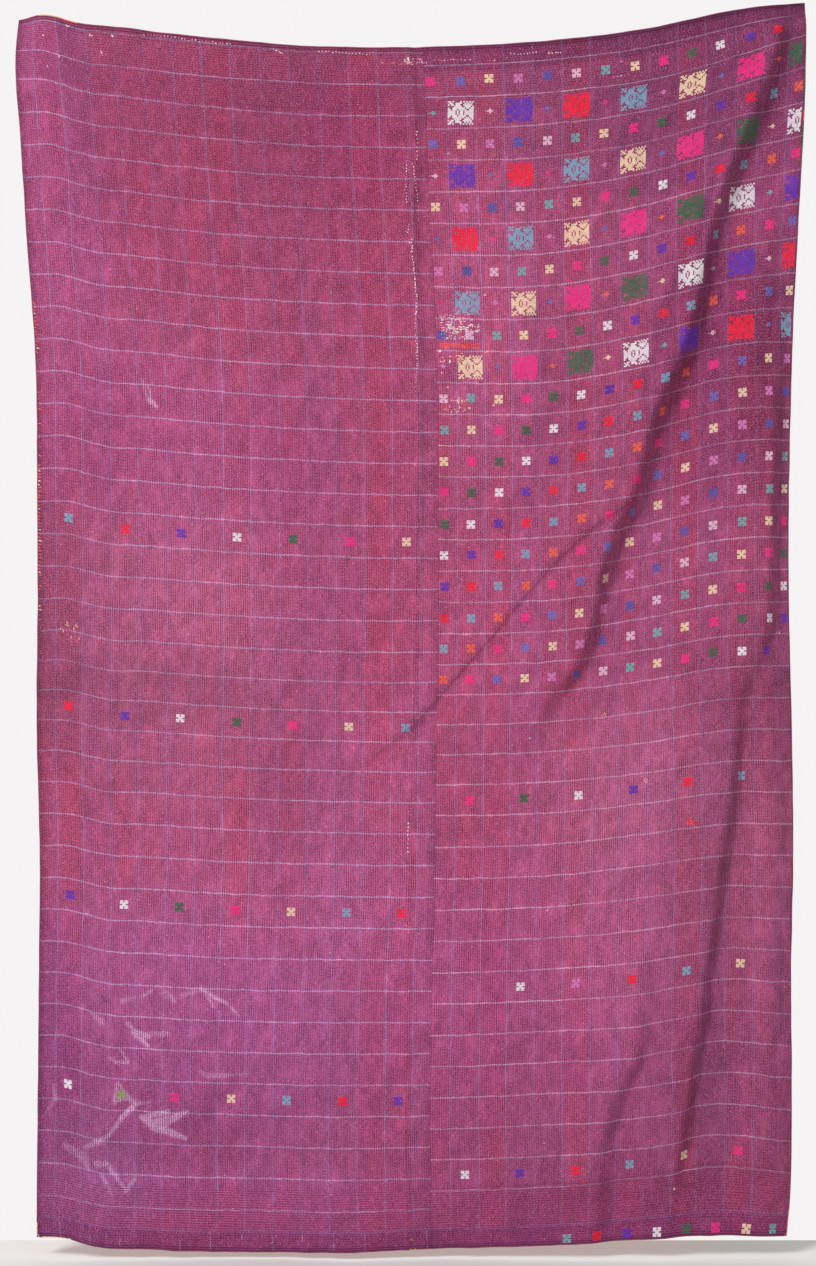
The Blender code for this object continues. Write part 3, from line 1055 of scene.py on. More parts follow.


# Parts of the cloth that are faded or darker than the rest, bluer or redder, and duller:
# middle and half size on the flat cloth. Some darker parts are painted shade, over the
# folds on the right panel and beside the edges; the rest are the cloth's own tone.
Area = namedtuple("Area", "across down wide tall lighter bluer duller")
AREAS = named_rows(
    Area,
    (*[1000] * 4, *[100] * 3),
    70, 300, 100, 420, 4, 16, 0, 250, 550, 180, 280, 10, 0, 0, 400, 220, 340, 340, -12, -15, 0,
    560, 150, 200, 220, -6, -4, 0, 650, 400, 120, 400, 2, -15, 0,
    280, 760, 300, 160, 0, 10, -15, 420, 1050, 380, 260, 6, -5, 0,
    230, 1120, 240, 300, 2, 0, 32, 230, 1200, 200, 70, -16, 0, 0, 30, 1120, 60, 260, -30, 0, 0,
    24, 1980, 60, 340, -16, 20, -20, 100, 2120, 120, 140, -6, 28, 16,
    330, 800, 140, 280, 6, 0, 10, 620, 170, 100, 120, 0, -5, -25, 640, 1020, 120, 500, 4, 0, 0,
    620, 1460, 120, 240, 16, 6, 6, 220, 1860, 300, 260, 0, 22, -10,
    330, 1660, 260, 260, 22, 2, 8, 560, 1800, 340, 260, 8, 6, -6, 400, 2130, 440, 60, 20, 10, 0,
    740, 2170, 800, 70, -8, 0, -25, 1130, 1360, 160, 180, 10, -4, 16,
    1180, 1550, 260, 300, 8, 0, 24, 840, 500, 100, 300, 18, 0, 10,
    860, 1200, 160, 340, 12, -4, 0, 1250, 100, 320, 220, -18, 6, 0,
    1330, 240, 220, 400, -12, 8, -12, 1290, 660, 130, 240, -26, 0, -30,
    1410, 700, 70, 260, -22, 0, 0, 1420, 1500, 90, 500, 0, 0, 8,
    1270, 1620, 90, 460, -26, 0, -6, 960, 1740, 280, 260, 12, 0, -12,
    1160, 2140, 320, 70, -6, -4, 0, 1250, 2000, 280, 160, -8, 0, 0,
    1390, 1240, 80, 200, -17, 0, 0, 750, 100, 750, 200, -7, 0, 0, 1050, 620, 160, 160, -7, 0, 0,
    830, 1660, 160, 180, 7, 0, 0, 740, 1920, 850, 360, 2, 12, 0,
)
BLUER = shade(120, 82, 150)
REDDER = shade(176, 60, 92)
DULLER = shade(176, 104, 138)
RICHER = shade(160, 58, 112)

# The left panel's level lines where they are dim.
LEFT_DIM = shade(168, 152, 202)

# The strips turned down at the right panel's top and along the hem.
TOP_STRIP = 0.045
TOP_STRIP_COLOUR = shade(116, 54, 92)
HEM_STRIP_COLOUR = shade(115, 50, 110)

# Painted shade: the cloth is darker beside its edges, where they turn back, for the reach from each
# side.
EDGE_SHADE_LEFT = 0.018
EDGE_SHADE_RIGHT = 0.022
EDGE_SHADE_TOP = 0.020
EDGE_SHADE_BOTTOM = 0.014


def area_weight(finish, area):
    """1 at an area's middle, falling to 0 a little outside its half size."""
    scale = (1.0 / area.wide, 1.0 / area.tall, 0.0)
    middle = (-area.across / area.wide, -area.down / area.tall, 0.0)
    off = finish.vector_maths("MULTIPLY_ADD", finish.place, scale, middle).outputs[0]
    away = finish.vector_maths("DOT_PRODUCT", off, off)
    return finish.ramp(finish.number(away, "Value"), 1.8, 0.0)


def ground_colour(finish, cloth, panel, checks):
    """The ground: plum, redder or bluer by warp stripe, check and blotch, and its tone."""
    column = ((finish.across - panel.first_upright) / checks.across).maths("FLOOR")
    row = ((finish.down - panel.first_level) / checks.down).maths("FLOOR")
    stripe = finish.chance(column, panel.left + 3.0)
    block = finish.chance(column, row)
    wide = finish.grain(22.0, 2.2, detail=3.0, roughness=0.6)
    narrow = finish.grain(210.0, 9.0, detail=2.0)
    blotch = finish.grain(30.0, 12.0, 4.0, detail=5.0)
    redness = wide * 0.9 + blotch * 0.3 + narrow * 0.8 + stripe * 0.36 + block * 0.10 + 0.21
    colour = finish.mix(finish.ramp(redness, 1.34, 0.94), cloth.plum, cloth.mauve)
    colour = finish.mix(finish.ramp(redness, 1.36, 1.78), colour, cloth.wine)
    tone = 0.0
    shares = dict.fromkeys((BLUER, REDDER, DULLER, RICHER), 0.0)
    for area in AREAS:
        if area.across + area.wide * 1.4 < panel.left or area.across > panel.right + area.wide:
            continue
        weight = area_weight(finish, area)
        # The areas' tone is partly the cloth's own fading and partly painted shade of folds and edges.
        tone = weight * area.lighter + tone
        turns = ((area.bluer, BLUER, REDDER), (area.duller, DULLER, RICHER))
        for amount, above, below in turns:
            if amount:
                aim = above if amount > 0 else below
                shares[aim] = weight * abs(amount) + shares[aim]
    for aim, share in shares.items():
        colour = finish.mix(share, colour, aim)
    if panel is RIGHT_PANEL:
        band = finish.ramp(finish.down, TOP_STRIP + 0.004, TOP_STRIP - 0.004, 0.0, 0.55)
        colour = finish.mix(band, colour, TOP_STRIP_COLOUR)
    tone = tone + 1.0 + (blotch - 0.5) * 0.12 + (narrow - 0.5) * 0.30 + (block - 0.5) * 0.05
    tone = tone + (stripe - 0.5) * 0.07
    return colour, tone, stripe


def check_lines(finish, colour, checks, panel, stripe):
    """Lays the check's thin upright and level lines on a colour."""
    across, down = finish.across, finish.down
    stray = finish.grain(34.0, 11.0, 5.0, detail=3.0)
    upright_place = across + (stray - 0.5) * 0.004
    level_place = down + (stray - 0.5) * 0.005
    upright_wide, level_wide = checks.upright_width, checks.level_width
    uprights = line_mask(
        finish, upright_place, panel.first_upright, checks.across, upright_wide, 0.0019
    )
    levels = line_mask(finish, level_place, panel.first_level, checks.down, level_wide, 0.0007)
    # The hem's strip is cut from the cloth's other way: its pale lines stand upright.
    strip = finish.ramp(down, LENGTH - HEM_STRIP - 0.002, LENGTH - HEM_STRIP + 0.002)
    turned = line_mask(finish, upright_place, HEM_LINE_START, HEM_LINE_STEP, level_wide, 0.0007)
    patchy = finish.grain(24.0, 60.0, 8.0, detail=1.0)
    turned = turned * strip * finish.ramp(patchy, 0.38, 0.62, 0.0, 0.9)
    turned = turned * (panel is LEFT_PANEL)
    hem = finish.ramp((level_place - (LENGTH - HEM_LINE)).maths("ABSOLUTE"), 0.0030, 0.0010)
    levels = levels * finish.ramp(down, LENGTH - 0.060, LENGTH - 0.062)
    uprights = uprights * (1.0 - strip * 0.6)
    worn = finish.grain(7.0, 16.0, 9.0, detail=3.0)
    dashes = finish.grain(260.0, 260.0, 1.0, detail=1.0)
    broken = finish.ramp(dashes, 0.30, 0.55, 0.72, 1.0)
    rubbed = finish.ramp(worn, 0.32, 0.62, 0.50, 1.0) * broken
    whole = finish.ramp(worn, 0.30, 0.60, 0.78, 1.0) * broken
    pale = finish.ramp(worn, 0.36, 0.64)
    dim, most = (LEFT_DIM, 0.45) if panel is LEFT_PANEL else (checks.dim_level, 1.0)
    level_colour = finish.mix(pale * most, dim, checks.level)
    upright_pale = finish.ramp(stripe, 0.55, 1.0, 0.0, 0.45)
    upright_colour = finish.mix(upright_pale, checks.upright, checks.dim_level)
    colour = finish.mix(strip * 0.35, colour, HEM_STRIP_COLOUR)
    colour = finish.mix(uprights * rubbed * checks.upright_strength, colour, upright_colour)
    colour = finish.mix(hem * 0.45, colour, checks.upright)
    shown = levels.maths("MAXIMUM", turned) * whole * checks.level_strength
    return finish.mix(shown, colour, level_colour)


def painted_edge_shade(finish):
    """Painted shade: the tone of the cloth beside its edges."""
    across, down = finish.across, finish.down
    left = finish.ramp(across, 0.0, EDGE_SHADE_LEFT, 0.62, 1.0)
    right = finish.ramp(across, WIDTH, WIDTH - EDGE_SHADE_RIGHT, 0.76, 1.0)
    top = finish.ramp(down, 0.0, EDGE_SHADE_TOP, 0.68, 1.0)
    bottom = finish.ramp(down, LENGTH, LENGTH - EDGE_SHADE_BOTTOM, 0.70, 1.0)
    return left * right * top * bottom


# The narrow pleat beside the seam: painted shade on its strip, and a painted shadow along the line
# where it tucks in.
PLEAT_LINE = 0.0015
PLEAT_START = 0.11
PLEAT_END = 1.15


def painted_pleat_shade(finish):
    """Painted shade on the strip between the tuck and the seam and in the hollow by the seam, and a
    painted shadow along the tuck's line.
    """
    across, down = finish.across, finish.down
    settings = {"stops": [(tuck.down / LENGTH, [tuck.from_seam] * 3) for tuck in TUCK]}
    path = finish.node("ShaderNodeValToRGB", settings, {0: down / LENGTH})
    from_seam = finish.vector_part(path.outputs[0])
    away = across - LEFT_WIDTH + from_seam
    high = finish.ramp(down, PLEAT_END, PLEAT_END * 0.5)
    strip = finish.ramp(away, -0.001, 0.003) * finish.ramp(across, LEFT_WIDTH, LEFT_WIDTH - 0.03)
    hollow_shade = finish.ramp(across, LEFT_WIDTH - 0.018, LEFT_WIDTH - 0.002)
    ragged = finish.grain(60.0, 42.0, 7.0, detail=2.0)
    line = finish.ramp(away.maths("ABSOLUTE"), PLEAT_LINE, PLEAT_LINE * 0.4)
    line = line * finish.ramp(ragged, 0.36, 0.52)
    line = line * finish.ramp(down, PLEAT_START, PLEAT_START + 0.05)
    # Painted shade: the strip and the hollow darken the cloth, and the tuck's line darkens it more.
    tone = 1.0 - strip * high * 0.10 - hollow_shade * 0.16
    return tone * (1.0 - line * (high * 0.36 + 0.08))


# Faces within this of a stain take the stained finish, and the others the plain one, which
# renders faster.
STAIN_REACH = 0.036


def near_stains(across, down):
    """Whether each place lies by one of the stains."""
    near = np.zeros(len(across), bool)
    for stain in STAINS:
        beside = np.abs(across - (stain.across + stain.to_across) / 2)
        beyond = np.abs(down - (stain.down + stain.to_down) / 2)
        wide = abs(stain.to_across - stain.across) / 2 + STAIN_REACH
        tall = abs(stain.to_down - stain.down) / 2 + STAIN_REACH
        near |= (beside < wide) & (beyond < tall)
    return near


def front_finish(panel, cloth, checks, stitch, stained=False):
    """The front's checked cotton: streaky plum warp, thin lines, stitch rows and stains."""
    kind = "stained" if stained else "checked"
    finish = Finish(f"{kind} plum cotton, {panel.name}", roughness=0.92)
    finish.cloth_place()
    colour, tone, stripe = ground_colour(finish, cloth, panel, checks)
    colour = check_lines(finish, colour, checks, panel, stripe)
    valley, dips, ends = pucker(finish, stitch)
    if stained:
        mask = stain_mask(finish) * (1.0 - valley * 0.35)
        colour = finish.mix(mask, colour, STAIN_COLOUR)
    if panel is LEFT_PANEL:
        tone = tone * painted_pleat_shade(finish)

    # Pale slubs in the yarn, and thread ends of the layer below.
    specks = finish.noise(finish.place, scale=250.0, detail=1.0)
    colour = finish.mix(finish.ramp(specks, 0.71, 0.78, 0.0, 0.65), colour, SLUB)

    # Painted shade in the stitch rows' valleys and in the dips between stitches, which comes and goes
    # in patches, over the grain of the weave.
    uneven = finish.grain(50.0, 26.0, 3.0, detail=3.0)
    deep = finish.ramp(uneven + stripe * 0.10 + ends * 0.14, 0.36, 0.66, 0.45, 1.25)
    weft = finish.grain(110.0, 430.0, detail=2.0)
    warp = finish.grain(520.0, 60.0, 6.0, detail=2.0)
    speckle = finish.noise(finish.place, scale=420.0, detail=2.0, roughness=0.75)
    tone = tone * (1.18 - valley * deep * 0.45 - dips * deep * 0.32)
    tone = tone * (0.50 + 1.00 * weft) * (0.60 + 0.80 * warp) * (0.50 + 1.00 * speckle)
    # Painted shade beside the edges, and painted shadow along the sharp crease.
    tone = tone * painted_edge_shade(finish) * painted_crease_shadow(finish, panel)
    finish.set_colour(finish.brighten(colour, tone))

    thread = finish.grain(1500.0, 1100.0, detail=1.0)
    height = valley * deep * -0.00045 + thread * 0.00006 + speckle * 0.00030 + weft * 0.00012
    finish.set_relief(height)
    return finish.material


def front_cloth(name, panel, node, seam_gap):
    """One front panel, as a sheet with its checked finish."""
    scene = bpy.context.scene
    cloth = scene.quilt_cloth
    left, right = panel.left + seam_gap, panel.right
    low, pitch = GAP / 2, (cloth.front_across, cloth.front_down)
    mesh = flat_cloth(name, left, right, low, low + FRONT_THICK, *pitch)
    places = set_cloth_map(mesh)
    set_bake_map(mesh, places, left, right)
    flat = mesh_points(mesh)
    outer = flat[:, 2] > GAP / 2 + FRONT_THICK / 2
    at_right = np.maximum(flat[:, 0], LEFT_WIDTH)
    proud = (face_height(at_right) - GAP / 2 - FRONT_THICK) * (panel is RIGHT_PANEL)
    flat[:, 2] += proud * outer
    set_mesh_points(mesh, flat)
    middles = face_middles(mesh)
    hang_mesh(mesh, on_face=False)
    looks = (panel, cloth, scene.quilt_checks, scene.quilt_stitch)
    mesh.materials.append(front_finish(*looks))
    if panel is LEFT_PANEL:
        mesh.materials.append(front_finish(*looks, stained=True))
        tint_faces(mesh, near_stains(middles[:, 0], -middles[:, 1]))
    piece = add_piece(name, mesh, sharp=RIM_ANGLE)
    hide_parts(node)
    panel.right - panel.left


class QUILT_OT_front_left(bpy.types.Operator):
    """Makes the left front panel"""

    bl_idname = "quilt.front_left"
    bl_label = "Left front panel"

    def execute(self, context):
        front_cloth("left_front", LEFT_PANEL, "front_panel_left", 0.0)
        return {"FINISHED"}


class QUILT_OT_front_right(bpy.types.Operator):
    """Makes the right front panel, with its turned-under edge along the seam"""

    bl_idname = "quilt.front_right"
    bl_label = "Right front panel"

    def execute(self, context):
        front_cloth("right_front", RIGHT_PANEL, "front_panel_right", 0.0002)
        return {"FINISHED"}


# ---- The backing and the turned edge ----

GREEN_BAND = WIDTH - 0.180
SELVEDGE = shade(236, 190, 96)
BACK_THREAD = shade(150, 60, 92)


def back_finish(cloth, stitch):
    """The backing's rust cotton, with a green band down one side and stitches that show."""
    finish = Finish("rust and green cotton", roughness=0.92)
    finish.cloth_place()
    across, down = finish.across, finish.down
    wide = finish.grain(26.0, 9.0, detail=4.0, roughness=0.6)
    slow = finish.grain(4.0, 3.0, 2.0, detail=3.0)
    weft = finish.grain(60.0, 600.0, detail=2.0)
    wavy = across + (finish.noise(finish.vector(0.0, down * 20.0)) - 0.5) * 0.004
    green = finish.ramp(wavy, GREEN_BAND - 0.0008, GREEN_BAND + 0.0008)
    faded = tuple(min(1.0, value * 1.14 + 0.02) for value in cloth.rust)
    colour = finish.mix(finish.ramp(wide, 0.30, 0.70), cloth.rust, faded)
    colour = finish.mix(green, colour, cloth.leaf)
    edge = finish.ramp((wavy - GREEN_BAND + 0.010).maths("ABSOLUTE"), 0.0042, 0.0034)
    colour = finish.mix(edge * 0.8, colour, SELVEDGE)
    valley, dips, _ends = pucker(finish, stitch)
    thread = finish.ramp(dips, 0.35, 0.75)
    colour = finish.mix(thread * 0.75, colour, BACK_THREAD)
    # Painted shade in the stitch rows' valleys and in the dips between stitches.
    tone = 1.12 - valley * 0.34 - dips * 0.10
    tone = tone * (0.84 + 0.32 * slow) * (0.90 + 0.20 * weft)
    finish.set_colour(finish.brighten(colour, tone))
    fine = finish.grain(1500.0, 1100.0, detail=1.0)
    finish.set_relief(valley * -0.00030 + thread * 0.00040 + fine * 0.00006)
    return finish.material


class QUILT_OT_backing(bpy.types.Operator):
    """Makes the backing cloth"""

    bl_idname = "quilt.backing"
    bl_label = "Backing"

    def execute(self, context):
        cloth = context.scene.quilt_cloth
        high, pitch = -GAP / 2, (cloth.back_across, cloth.back_down)
        mesh = flat_cloth("back", 0.0, WIDTH, high - BACK_THICK, high, *pitch)
        places = set_cloth_map(mesh)
        set_bake_map(mesh, places, 0.0, WIDTH)
        hang_mesh(mesh, on_face=False)
        mesh.materials.append(back_finish(cloth, context.scene.quilt_stitch))
        piece = add_piece("back", mesh, sharp=RIM_ANGLE)
        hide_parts("backing")
        return {"FINISHED"}


# Stretches of the edge where another colour shows: the side, the places along it, across
# or down, and the yarn.
Show = namedtuple("Show", "side start end colour")
EDGE_SHOWS = (
    Show("top", 0.052, 0.094, "gold"),
    Show("top", 0.094, 0.127, "orange"),
    Show("left", 2.195, LENGTH, "cream"),
    Show("right", 0.162, 0.221, "green"),
    Show("right", 0.221, 0.242, "orange"),
    Show("right", 0.246, 0.299, "green"),
    Show("right", 2.175, LENGTH, "orange"),
    Show("bottom", 0.012, 0.069, "cream"),
    Show("bottom", 0.712, 0.722, "gold"),
)
EDGE_STEP = 0.0065
EDGE_TURN = 0.005
EDGE_NEAR = 0.004


def edge_loop(inset):
    """The places round the quilt's edge, with small rounded corners, as a closed loop."""
    corners = (
        (inset, -inset),
        (WIDTH - inset, -inset),
        (WIDTH - inset, inset - LENGTH),
        (inset, inset - LENGTH),
    )
    loop = []
    for start, end in zip(corners, (*corners[1:], corners[0]), strict=True):
        run = math.dist(start, end)
        count = round((run - 2 * EDGE_TURN) / EDGE_STEP)
        for place in np.linspace(EDGE_TURN, run - EDGE_TURN, count):
            share = place / run
            loop.append([low + (high - low) * share for low, high in zip(start, end, strict=True)])
    return loop


def edge_colour(across, down):
    """The yarn that shows at a place on the edge, or None for the front's plum."""
    sides = {
        "top": (down < EDGE_NEAR, across),
        "bottom": (down > LENGTH - EDGE_NEAR, across),
        "left": (across < EDGE_NEAR, down),
        "right": (across > WIDTH - EDGE_NEAR, down),
    }
    for show in EDGE_SHOWS:
        beside, along = sides[show.side]
        if beside and show.start <= along <= show.end:
            return show.colour
    return None


def tube(name, loop, radius, height):
    """A closed mesh tube along flat places, at a height over the cloth."""
    route = bpy.data.curves.new(name, "CURVE")
    route.dimensions = "3D"
    route.bevel_depth = radius
    route.bevel_resolution = 2
    route.use_fill_caps = True
    spline = route.splines.new("POLY")
    spline.points.add(len(loop) - 1)
    for point, (x, y) in zip(spline.points, loop, strict=True):
        point.co = (x, y, height, 1.0)
    spline.use_cyclic_u = True
    holder = linked(name, route)
    bpy.context.view_layer.update()
    mesh = bpy.data.meshes.new_from_object(holder)
    bpy.data.objects.remove(holder)
    bpy.data.curves.remove(route)
    mesh.name = name
    return mesh


def yarn_finish(name, colour, twist=420.0):
    """A yarn's finish: its colour, and fine fibres across it."""
    finish = Finish(name, roughness=0.85)
    finish.set_colour(colour)
    place = finish.node("ShaderNodeTexCoord").outputs["Object"]
    fibre = finish.noise(place, scale=twist * 4.0, detail=2.0)
    finish.set_relief(fibre * 0.00012)
    return finish.material


class QUILT_OT_edge(bpy.types.Operator):
    """Makes the turned edge all round, where the layers are folded in and stitched"""

    bl_idname = "quilt.edge"
    bl_label = "Turned edge"

    def execute(self, context):
        cloth = context.scene.quilt_cloth
        inset = cloth.edge_radius * 0.4
        height = (FRONT_THICK - BACK_THICK) / 2
        mesh = tube("turned_edge", edge_loop(inset), cloth.edge_radius, height)
        names = [None, "green", "orange", "cream", "gold"]
        plum = tuple(value * 0.72 for value in cloth.plum)
        mesh.materials.append(yarn_finish("turned plum edge", plum))
        for name in names[1:]:
            mesh.materials.append(yarn_finish(f"{name} edge", YARNS[name]))
        tint_faces(mesh, [names.index(edge_colour(x, -y)) for x, y, _z in face_middles(mesh)])
        hang_mesh(mesh, on_face=False)
        add_piece("turned_edge", mesh)
        return {"FINISHED"}


# ---- Running stitch ----

# Tones of the running thread beside the cloth's colour, and how often each is drawn.
Tone = namedtuple("Tone", "name colour often")
TONES = (
    Tone("rose thread", shade(186, 102, 138), 0.26),
    Tone("plum thread", shade(162, 78, 116), 0.40),
    Tone("wine thread", shade(168, 70, 100), 0.16),
    Tone("dark thread", shade(124, 58, 92), 0.12),
    Tone("mauve thread", shade(146, 88, 144), 0.06),
)
ROOF_POINTS = 4
STITCH_SINK = 0.00015
STITCH_LOST = 0.03
STITCH_MARGIN = 0.006


def stitch_mesh(length, width, height, coarse):
    """One stitch: a slim diamond along x, folded along its length, or with its middle up."""
    bm = bmesh.new()
    bmesh.ops.create_circle(bm, cap_ends=True, segments=ROOF_POINTS, radius=0.5)
    bmesh.ops.scale(bm, vec=(length, width, 1.0), verts=bm.verts)
    if coarse:
        raised = bmesh.ops.poke(bm, faces=bm.faces[:])["verts"]
    else:
        raised = [vert for vert in bm.verts if abs(vert.co.x) > length / 4]
        bmesh.ops.connect_verts(bm, verts=raised)
    bmesh.ops.translate(bm, vec=(0.0, 0.0, height), verts=raised)
    bmesh.ops.translate(bm, vec=(0.0, 0.0, -STITCH_SINK), verts=bm.verts)
    if coarse:
        bmesh.ops.recalc_face_normals(bm, faces=bm.faces[:])
    return bmesh_to_mesh(bm, "stitch")


def arrayed(mesh, steps):
    """A mesh of copies: steps are the Array modifiers' counts and offsets."""
    holder = linked("array", mesh)
    for count, offset in steps:
        array = holder.modifiers.new("Array", "ARRAY")
        array.count = count
        array.use_relative_offset = False
        array.use_constant_offset = True
        array.constant_offset_displace = offset
    shown = holder.evaluated_get(bpy.context.evaluated_depsgraph_get())
    made = bpy.data.meshes.new_from_object(shown)
    bpy.data.objects.remove(holder)
    bpy.data.meshes.remove(mesh)
    return made


# Stretches where the stitches stand out and others where they sink in, as slow waves: the
# length of each wave over and along the rows, and its phase.
TAUT_WAVES = (
    (0.061, 0.190, 0.7),
    (0.083, -0.240, 2.9),
    (0.117, 0.330, 4.4),
    (0.041, 0.520, 1.3),
)


def tautness(over, along, upright):
    """How far stitches stand up at places over and along their rows, from about 0.3 to 1."""
    shift = 0.0 if upright else 1.7
    total = sum(
        np.sin(TURN * (over / wave[0] + along / wave[1]) + wave[2] + shift) for wave in TAUT_WAVES
    )
    return 0.30 + 0.70 * smooth_step(-1.6, 1.6, total)


def sewn_rows(panel, top, bottom, upright, stitch, draw):
    """Flat rows of running stitch over part of a panel, each stitch a little uneven."""
    roof = stitch_mesh(stitch.length, stitch.width, stitch.height, coarse=False)
    first_row = math.ceil((panel.left if upright else top) / stitch.pitch)
    last_row = math.floor((panel.right if upright else bottom) / stitch.pitch) - 1
    start, end = (top, bottom) if upright else (panel.left, panel.right)
    first_step = math.ceil(start / stitch.step)
    steps = math.floor(end / stitch.step) - first_step
    rows = last_row - first_row + 1
    mesh = arrayed(roof, ((steps, (stitch.step, 0.0, 0.0)), (rows, (0.0, stitch.pitch, 0.0))))
    points = mesh_points(mesh).reshape(rows, steps, ROOF_POINTS, 3)
    number = np.arange(first_row, last_row + 1)[:, None, None]
    shift = np.mod(row_turns(number, np.sin), 1.0)
    along = points[..., 0] + (first_step + shift) * stitch.step
    across = points[..., 1] + (first_row + 0.5) * stitch.pitch
    count = (rows, steps, 1)
    middle = along.mean(axis=2, keepdims=True)
    size = draw.uniform(0.80, 1.15, count)
    along = middle + (along - middle) * size + draw.normal(0.0, 0.0006, count)
    across = across + wander(along, across, np.sin) + draw.normal(0.0, 0.00022, count)
    missing = draw.uniform(0.0, 1.0, count) < STITCH_LOST
    lift = draw.uniform(0.7, 1.2, count) * tautness(across, along, upright)
    height = points[..., 2] * lift - missing * stitch.height * 2.0
    flat = (across, -along) if upright else (along, -across)
    set_mesh_points(mesh, np.stack([*flat, height], axis=3).reshape(-1, 3))
    return mesh


def running_stitch(name, panel, stitch):
    draw = np.random.default_rng(stitch.seed + len(name))
    bands = (STITCH_MARGIN, TOP_BAND, BOTTOM_BAND, LENGTH - STITCH_MARGIN)
    bm = bmesh.new()
    for number, (top, bottom) in enumerate(zip(bands, bands[1:])):
        rows = sewn_rows(panel, top, bottom, number == 1, stitch, draw)
        bm.from_mesh(rows)
        bpy.data.meshes.remove(rows)
    bmesh.ops.recalc_face_normals(bm, faces=bm.faces[:])
    low = [face for face in bm.faces if face.normal.z < 0]
    bmesh.ops.reverse_faces(bm, faces=low)
    mesh = bmesh_to_mesh(bm, name)
    for tone in TONES:
        mesh.materials.append(yarn_finish(tone.name, tone.colour, twist=900.0))
    count = len(mesh.polygons) // 2
    chances = column(TONES, "often")
    picked = draw.choice(len(TONES), count, p=chances / chances.sum())
    tint_faces(mesh, np.repeat(picked, 2))
    hang_mesh(mesh, on_face=True)
    return add_piece(name, mesh)


class QUILT_OT_running_stitch(bpy.types.Operator):
    """Sews the running stitch over both front panels"""

    bl_idname = "quilt.running_stitch"
    bl_label = "Running stitch"

    def execute(self, context):
        stitch = context.scene.quilt_stitch
        running_stitch("running_stitch_left", LEFT_PANEL, stitch)
        running_stitch("running_stitch_right", RIGHT_PANEL, stitch)
        return {"FINISHED"}


# ---- Woven motifs ----

FLOATS_PER_ROW = 2
FLOAT_SINK = 0.0002
FLOAT_FILL = 0.94
FLOAT_CUT = 0.006
SPREAD = 0.12
FULL_SPREAD = 0.42


def chart_runs(chart):
    """Each unbroken run in a chart, as its row, first column and length."""
    for row, line in enumerate(chart):
        col = 0
        while col < len(line):
            length = len(line[col:]) - len(line[col:].lstrip("x"))
            if length:
                yield row, col, length
            col += max(length, 1)


def float_bar(bm, left, right, low, high, height):
    """A float of yarn that lies across: a bar whose top is narrower than its foot."""
    made = bmesh.ops.create_cube(bm, size=1.0)
    bmesh.ops.scale(bm, vec=(right - left, high - low, 1.0), verts=made["verts"])
    top = [v for v in made["verts"] if v.co.z > 0]
    bmesh.ops.scale(bm, vec=(1.0 - 0.0007 / (right - left), 0.45, 1.0), verts=top)
    for vert in made["verts"]:
        vert.co.z = height if vert.co.z > 0 else -FLOAT_SINK
    middle = ((left + right) / 2, (low + high) / 2, 0.0)
    bmesh.ops.translate(bm, vec=middle, verts=made["verts"])
    cuts = round((right - left) / FLOAT_CUT)
    if cuts:
        edges = {edge for vert in made["verts"] for edge in vert.link_edges}
        level = [e for e in edges if abs(e.verts[0].co.y - e.verts[1].co.y) < 1e-6]
        level = [e for e in level if abs(e.verts[0].co.z - e.verts[1].co.z) < 1e-6]
        bmesh.ops.subdivide_edges(bm, edges=level, cuts=cuts, use_grid_fill=True)


def motif_mesh(chart, cell, height, spread=SPREAD, tail=0.0):
    """A motif of floats, centred. Each float spreads past its cells by a share of one."""
    width, tall = cell[0] * len(chart[0]), cell[1] * len(chart)
    draw = np.random.default_rng(len(chart))
    bm = bmesh.new()
    for row, col, length in chart_runs(chart):
        left = (col - spread) * cell[0] - width / 2
        right = (col + length + spread) * cell[0] - width / 2
        for part in range(FLOATS_PER_ROW):
            first = len(bm.faces)
            high = tall / 2 - (row + part / FLOATS_PER_ROW) * cell[1]
            low = high - cell[1] / FLOATS_PER_ROW * FLOAT_FILL
            float_bar(bm, left, right, low, high, height)
            tint = int(draw.integers(len(TINTS)))
            bm.faces.ensure_lookup_table()
            for face in bm.faces[first:]:
                face.material_index = tint
    if tail:
        float_bar(bm, -width / 2 - tail, -width / 2, -0.0005, 0.0005, height * 0.7)
    return bmesh_to_mesh(bm, "motif")


def cut_chart(chart, room, cell):
    """The left columns of a chart that fit in the room beside the cloth's edge."""
    return [line[: int(room / cell[0])] for line in chart]


class Weaver:
    """Collects copies of flat motifs, each in its yarn, and makes them one mesh."""

    def __init__(self, seed):
        self.bm = bmesh.new()
        self.draw = np.random.default_rng(seed)

    def add(self, mesh, across, down, yarn):
        first_vert, first_face = len(self.bm.verts), len(self.bm.faces)
        self.bm.from_mesh(mesh)
        self.bm.verts.ensure_lookup_table()
        self.bm.faces.ensure_lookup_table()
        slant = self.draw.normal(0.0, 0.02)
        spot = (across + self.draw.normal(0.0, 0.0006), -down + self.draw.normal(0.0, 0.0006))
        for vert in self.bm.verts[first_vert:]:
            x, y = vert.co.x, vert.co.y
            vert.co.x = x - y * slant + spot[0]
            vert.co.y = y + x * slant * 0.4 + spot[1]
        base = YARN_NAMES.index(yarn) * len(TINTS)
        flip = int(self.draw.integers(len(TINTS)))
        for face in self.bm.faces[first_face:]:
            face.material_index = base + (face.material_index + flip) % len(TINTS)

    def finish(self, name):
        mesh = bmesh_to_mesh(self.bm, name)
        for yarn, colour in YARNS.items():
            for tint in TINTS:
                tinted = tuple(value * tint for value in colour)
                mesh.materials.append(yarn_finish(f"{yarn} yarn {tint}", tinted))
        hang_mesh(mesh, on_face=True)
        return add_piece(name, mesh, smooth=False)


